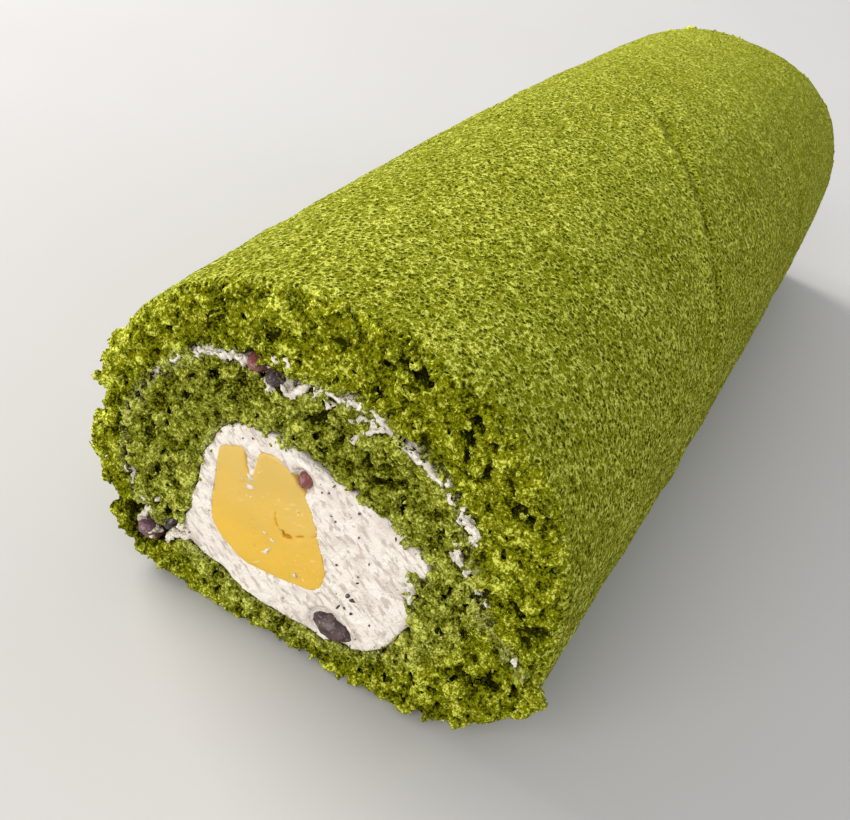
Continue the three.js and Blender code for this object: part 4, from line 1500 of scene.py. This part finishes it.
def makeGrainTree():  # small rough grains on given points
    tree, given, out = newGroup("looseGrains", "GeometryNodeTree", [
        ("Geometry", "Geometry", None), ("Seed", "Int", 1), ("Material", "Material", None)],
        [("Geometry", "Geometry")])
    grain = addNode(tree, "GeometryNodeMeshIcoSphere", {"Radius": mm, "Subdivisions": 2}).outputs[0]
    place = meshPlace(tree)
    rough = calc(tree, "MULTIPLY", noise(tree, place, 0.9, 2.0), 1.1 * mm)
    push = scaled(tree, addNode(tree, "GeometryNodeInputNormal").outputs[0], rough)
    grain = addNode(tree, "GeometryNodeSetPosition", {"Geometry": grain, "Offset": push}).outputs[0]
    size = fetched(tree, "half")
    turn = addNode(tree, "FunctionNodeRandomValue",
                   {"Min": (0, 0, 0), "Max": (6.28, 6.28, 6.28), "Seed": given["Seed"]},
                   data_type="FLOAT_VECTOR").outputs[0]
    stretch = addNode(tree, "FunctionNodeRandomValue", {"Min": (0.4, 0.35, 0.4), "Max": (1.5, 0.7, 1.5),
                      "Seed": given["Seed"]}, data_type="FLOAT_VECTOR").outputs[0]
    made = addNode(tree, "GeometryNodeInstanceOnPoints", {"Points": given["Geometry"], "Instance": grain,
                   "Rotation": turn, "Scale": scaled(tree, stretch, size)}).outputs[0]
    mesh = addNode(tree, "GeometryNodeRealizeInstances", {"Geometry": made}).outputs[0]
    mesh = stored(tree, mesh, "hollow", 0.0)
    mesh = stored(tree, mesh, "stain", 0.0)
    mesh = stored(tree, mesh, "tone", 0.6)
    withMaterial(tree, given, out, mesh)
    return tree


def pointMesh(places, sizes):
    mesh = bpy.data.meshes.new("grainPlaces")
    mesh.from_pydata([tuple(p) for p in places], [], [])
    setValues(mesh, "half", sizes)
    return mesh


def insideLoop(points, loop):
    x, z = points[:, 0][:, None], points[:, 1][:, None]
    x1, z1 = loop[:, 0][None], loop[:, 1][None]
    x2, z2 = np.roll(loop[:, 0], -1)[None], np.roll(loop[:, 1], -1)[None]
    crosses = ((z1 > z) != (z2 > z)) & (x < (x2 - x1) * (z - z1) / (z2 - z1 + 1e-9) + x1)
    return crosses.sum(1) % 2 == 1


def makeScatter():
    tree = makeGrainTree()
    core = smoothLine(coreLine, 4)
    nut = smoothLine(chestnutLine, 3)
    for side, y, outwards, seed in (("front", -halfLength, -1.0, 4), ("back", halfLength, 1.0, 9)):
        rng = np.random.default_rng(seed)
        here = drifted(nut, 0.0 if side == "front" else 1.0)
        spots = rng.uniform((-25, 7), (22, 44), (scatter["small"] * 4, 2))
        spots = spots[insideLoop(spots, core) & ~insideLoop(spots, here)][:scatter["small"]]
        sizes = 0.08 + 0.16 * rng.random(len(spots)) ** 3
        named = np.array(scatter["flecks"])
        if side == "back":
            named = named * (-1, 1, 1) + (0.0, 1.5, 0)
            keep = insideLoop(named[:, :2], core) & ~insideLoop(named[:, :2], here)
            named = named[keep]
        spots, sizes = np.vstack([spots, named[:, :2]]), np.concatenate([sizes, named[:, 2] * 0.8])
        places = intoRoll(spots[:, 0], y + outwards * rng.uniform(-0.25, 0.15, len(spots)), spots[:, 1])
        piece = runTree("bean_flecks_" + side, tree, {"Seed": seed, "Material": beanMaterials["dark"]},
                        pointMesh(places, sizes))
        finish(piece, None)
        count, wiped = scatter["crumbs"], scatter["strokeCrumbs"]
        spots = evenly(core, 4000)[rng.integers(0, 4000, count)] + rng.normal(0, 0.5, (count, 2))
        strokes = np.array(strokeDots(frontStrokes if side == "front" else backStrokes))[:, :2]
        beside = strokes[rng.integers(0, len(strokes), wiped)] + rng.normal(0, 0.5, (wiped, 2))
        spots = np.vstack([spots, beside])
        away = rng.uniform(-0.3, 0.35, len(spots))
        sizes = 0.14 + 0.30 * rng.random(len(spots)) ** 2
        places = intoRoll(spots[:, 0], y + outwards * away, spots[:, 1])
        piece = runTree("loose_crumbs_" + side, tree, {"Seed": seed + 1, "Material": crumbMaterial},
                        pointMesh(places, sizes))
        finish(piece, None)


makeScatter()
for shapes in (frontShapes, backShapes):
    for shape in shapes.values():
        bpy.data.objects.remove(shape)


# floor, light and camera

camera = {
    "place": (57.12, -255.10, 153.09),
    "yaw": 0.3298,
    "pitch": 0.6013,
    "roll": 0.2681,
    "focal": 1080.3,
    "imageWidth": 850,
}


def makeCamera():
    yaw, pitch, turn = camera["yaw"], camera["pitch"], camera["roll"]
    ahead = Vector((math.sin(-yaw) * math.cos(pitch), math.cos(yaw) * math.cos(pitch), -math.sin(pitch)))
    side = ahead.cross(Vector((0, 0, 1))).normalized()
    up = side.cross(ahead)
    right = side * math.cos(turn) + up * math.sin(turn)
    top = up * math.cos(turn) - side * math.sin(turn)
    data = bpy.data.cameras.new("camera")
    data.sensor_width = 36
    data.lens = camera["focal"] / camera["imageWidth"] * data.sensor_width
    data.clip_start, data.clip_end = 0.01, 10
    made = linked("camera", data)
    x, y, z = camera["place"]
    place = Vector((x - sectionMiddle, y, z)) * mm
    made.matrix_world = Matrix.Translation(place) @ Matrix((right, top, -ahead)).transposed().to_4x4()
    bpy.context.scene.camera = made


def areaLight(name, place, aim, size, power, colour):
    data = bpy.data.lights.new(name, "AREA")
    data.shape = "DISK"
    data.size, data.energy, data.color = size, power, colour
    made = linked(name, data)
    made.location = place
    made.rotation_euler = (Vector(aim) - Vector(place)).to_track_quat("-Z", "Y").to_euler()


def makeFloor():
    mesh = bpy.data.meshes.new("floor")
    reach = floorLook["halfWidth"]
    corners = [(-reach, -reach, 0), (reach, -reach, 0), (reach, reach, 0), (-reach, reach, 0)]
    mesh.from_pydata(corners, [], [(0, 1, 2, 3)])
    mesh.materials.append(makeFloorMaterial())
    linked("floor", mesh)


light = {
    "window": {"place": (-1.85, 0.35, 0.98), "size": 1.3, "power": 62.0, "colour": (1.0, 0.985, 0.955)},
    "fill": {"place": (-0.45, -1.70, 0.95), "size": 1.4, "power": 22.0, "colour": (1.0, 0.975, 0.94)},
    "side": {"place": (1.75, 1.15, 0.95), "size": 1.4, "power": 8.0, "colour": (1.0, 0.985, 0.96)},
    "sky": {"colour": (0.92, 0.94, 1.0), "strength": 0.72},
}


def makeLight():
    for name in ("window", "fill", "side"):
        values = light[name]
        areaLight(name, values["place"], (0, 0, 0.03), values["size"], values["power"], values["colour"])
    world = bpy.data.worlds.new("sky")
    bpy.context.scene.world = world
    world.use_nodes = True
    sky = world.node_tree.nodes["Background"]
    sky.inputs["Color"].default_value = (*light["sky"]["colour"], 1)
    sky.inputs["Strength"].default_value = light["sky"]["strength"]
    bpy.context.scene.view_settings.view_transform = "Standard"


makeCamera()
makeFloor()
makeLight()
print("camera, floor and light made")
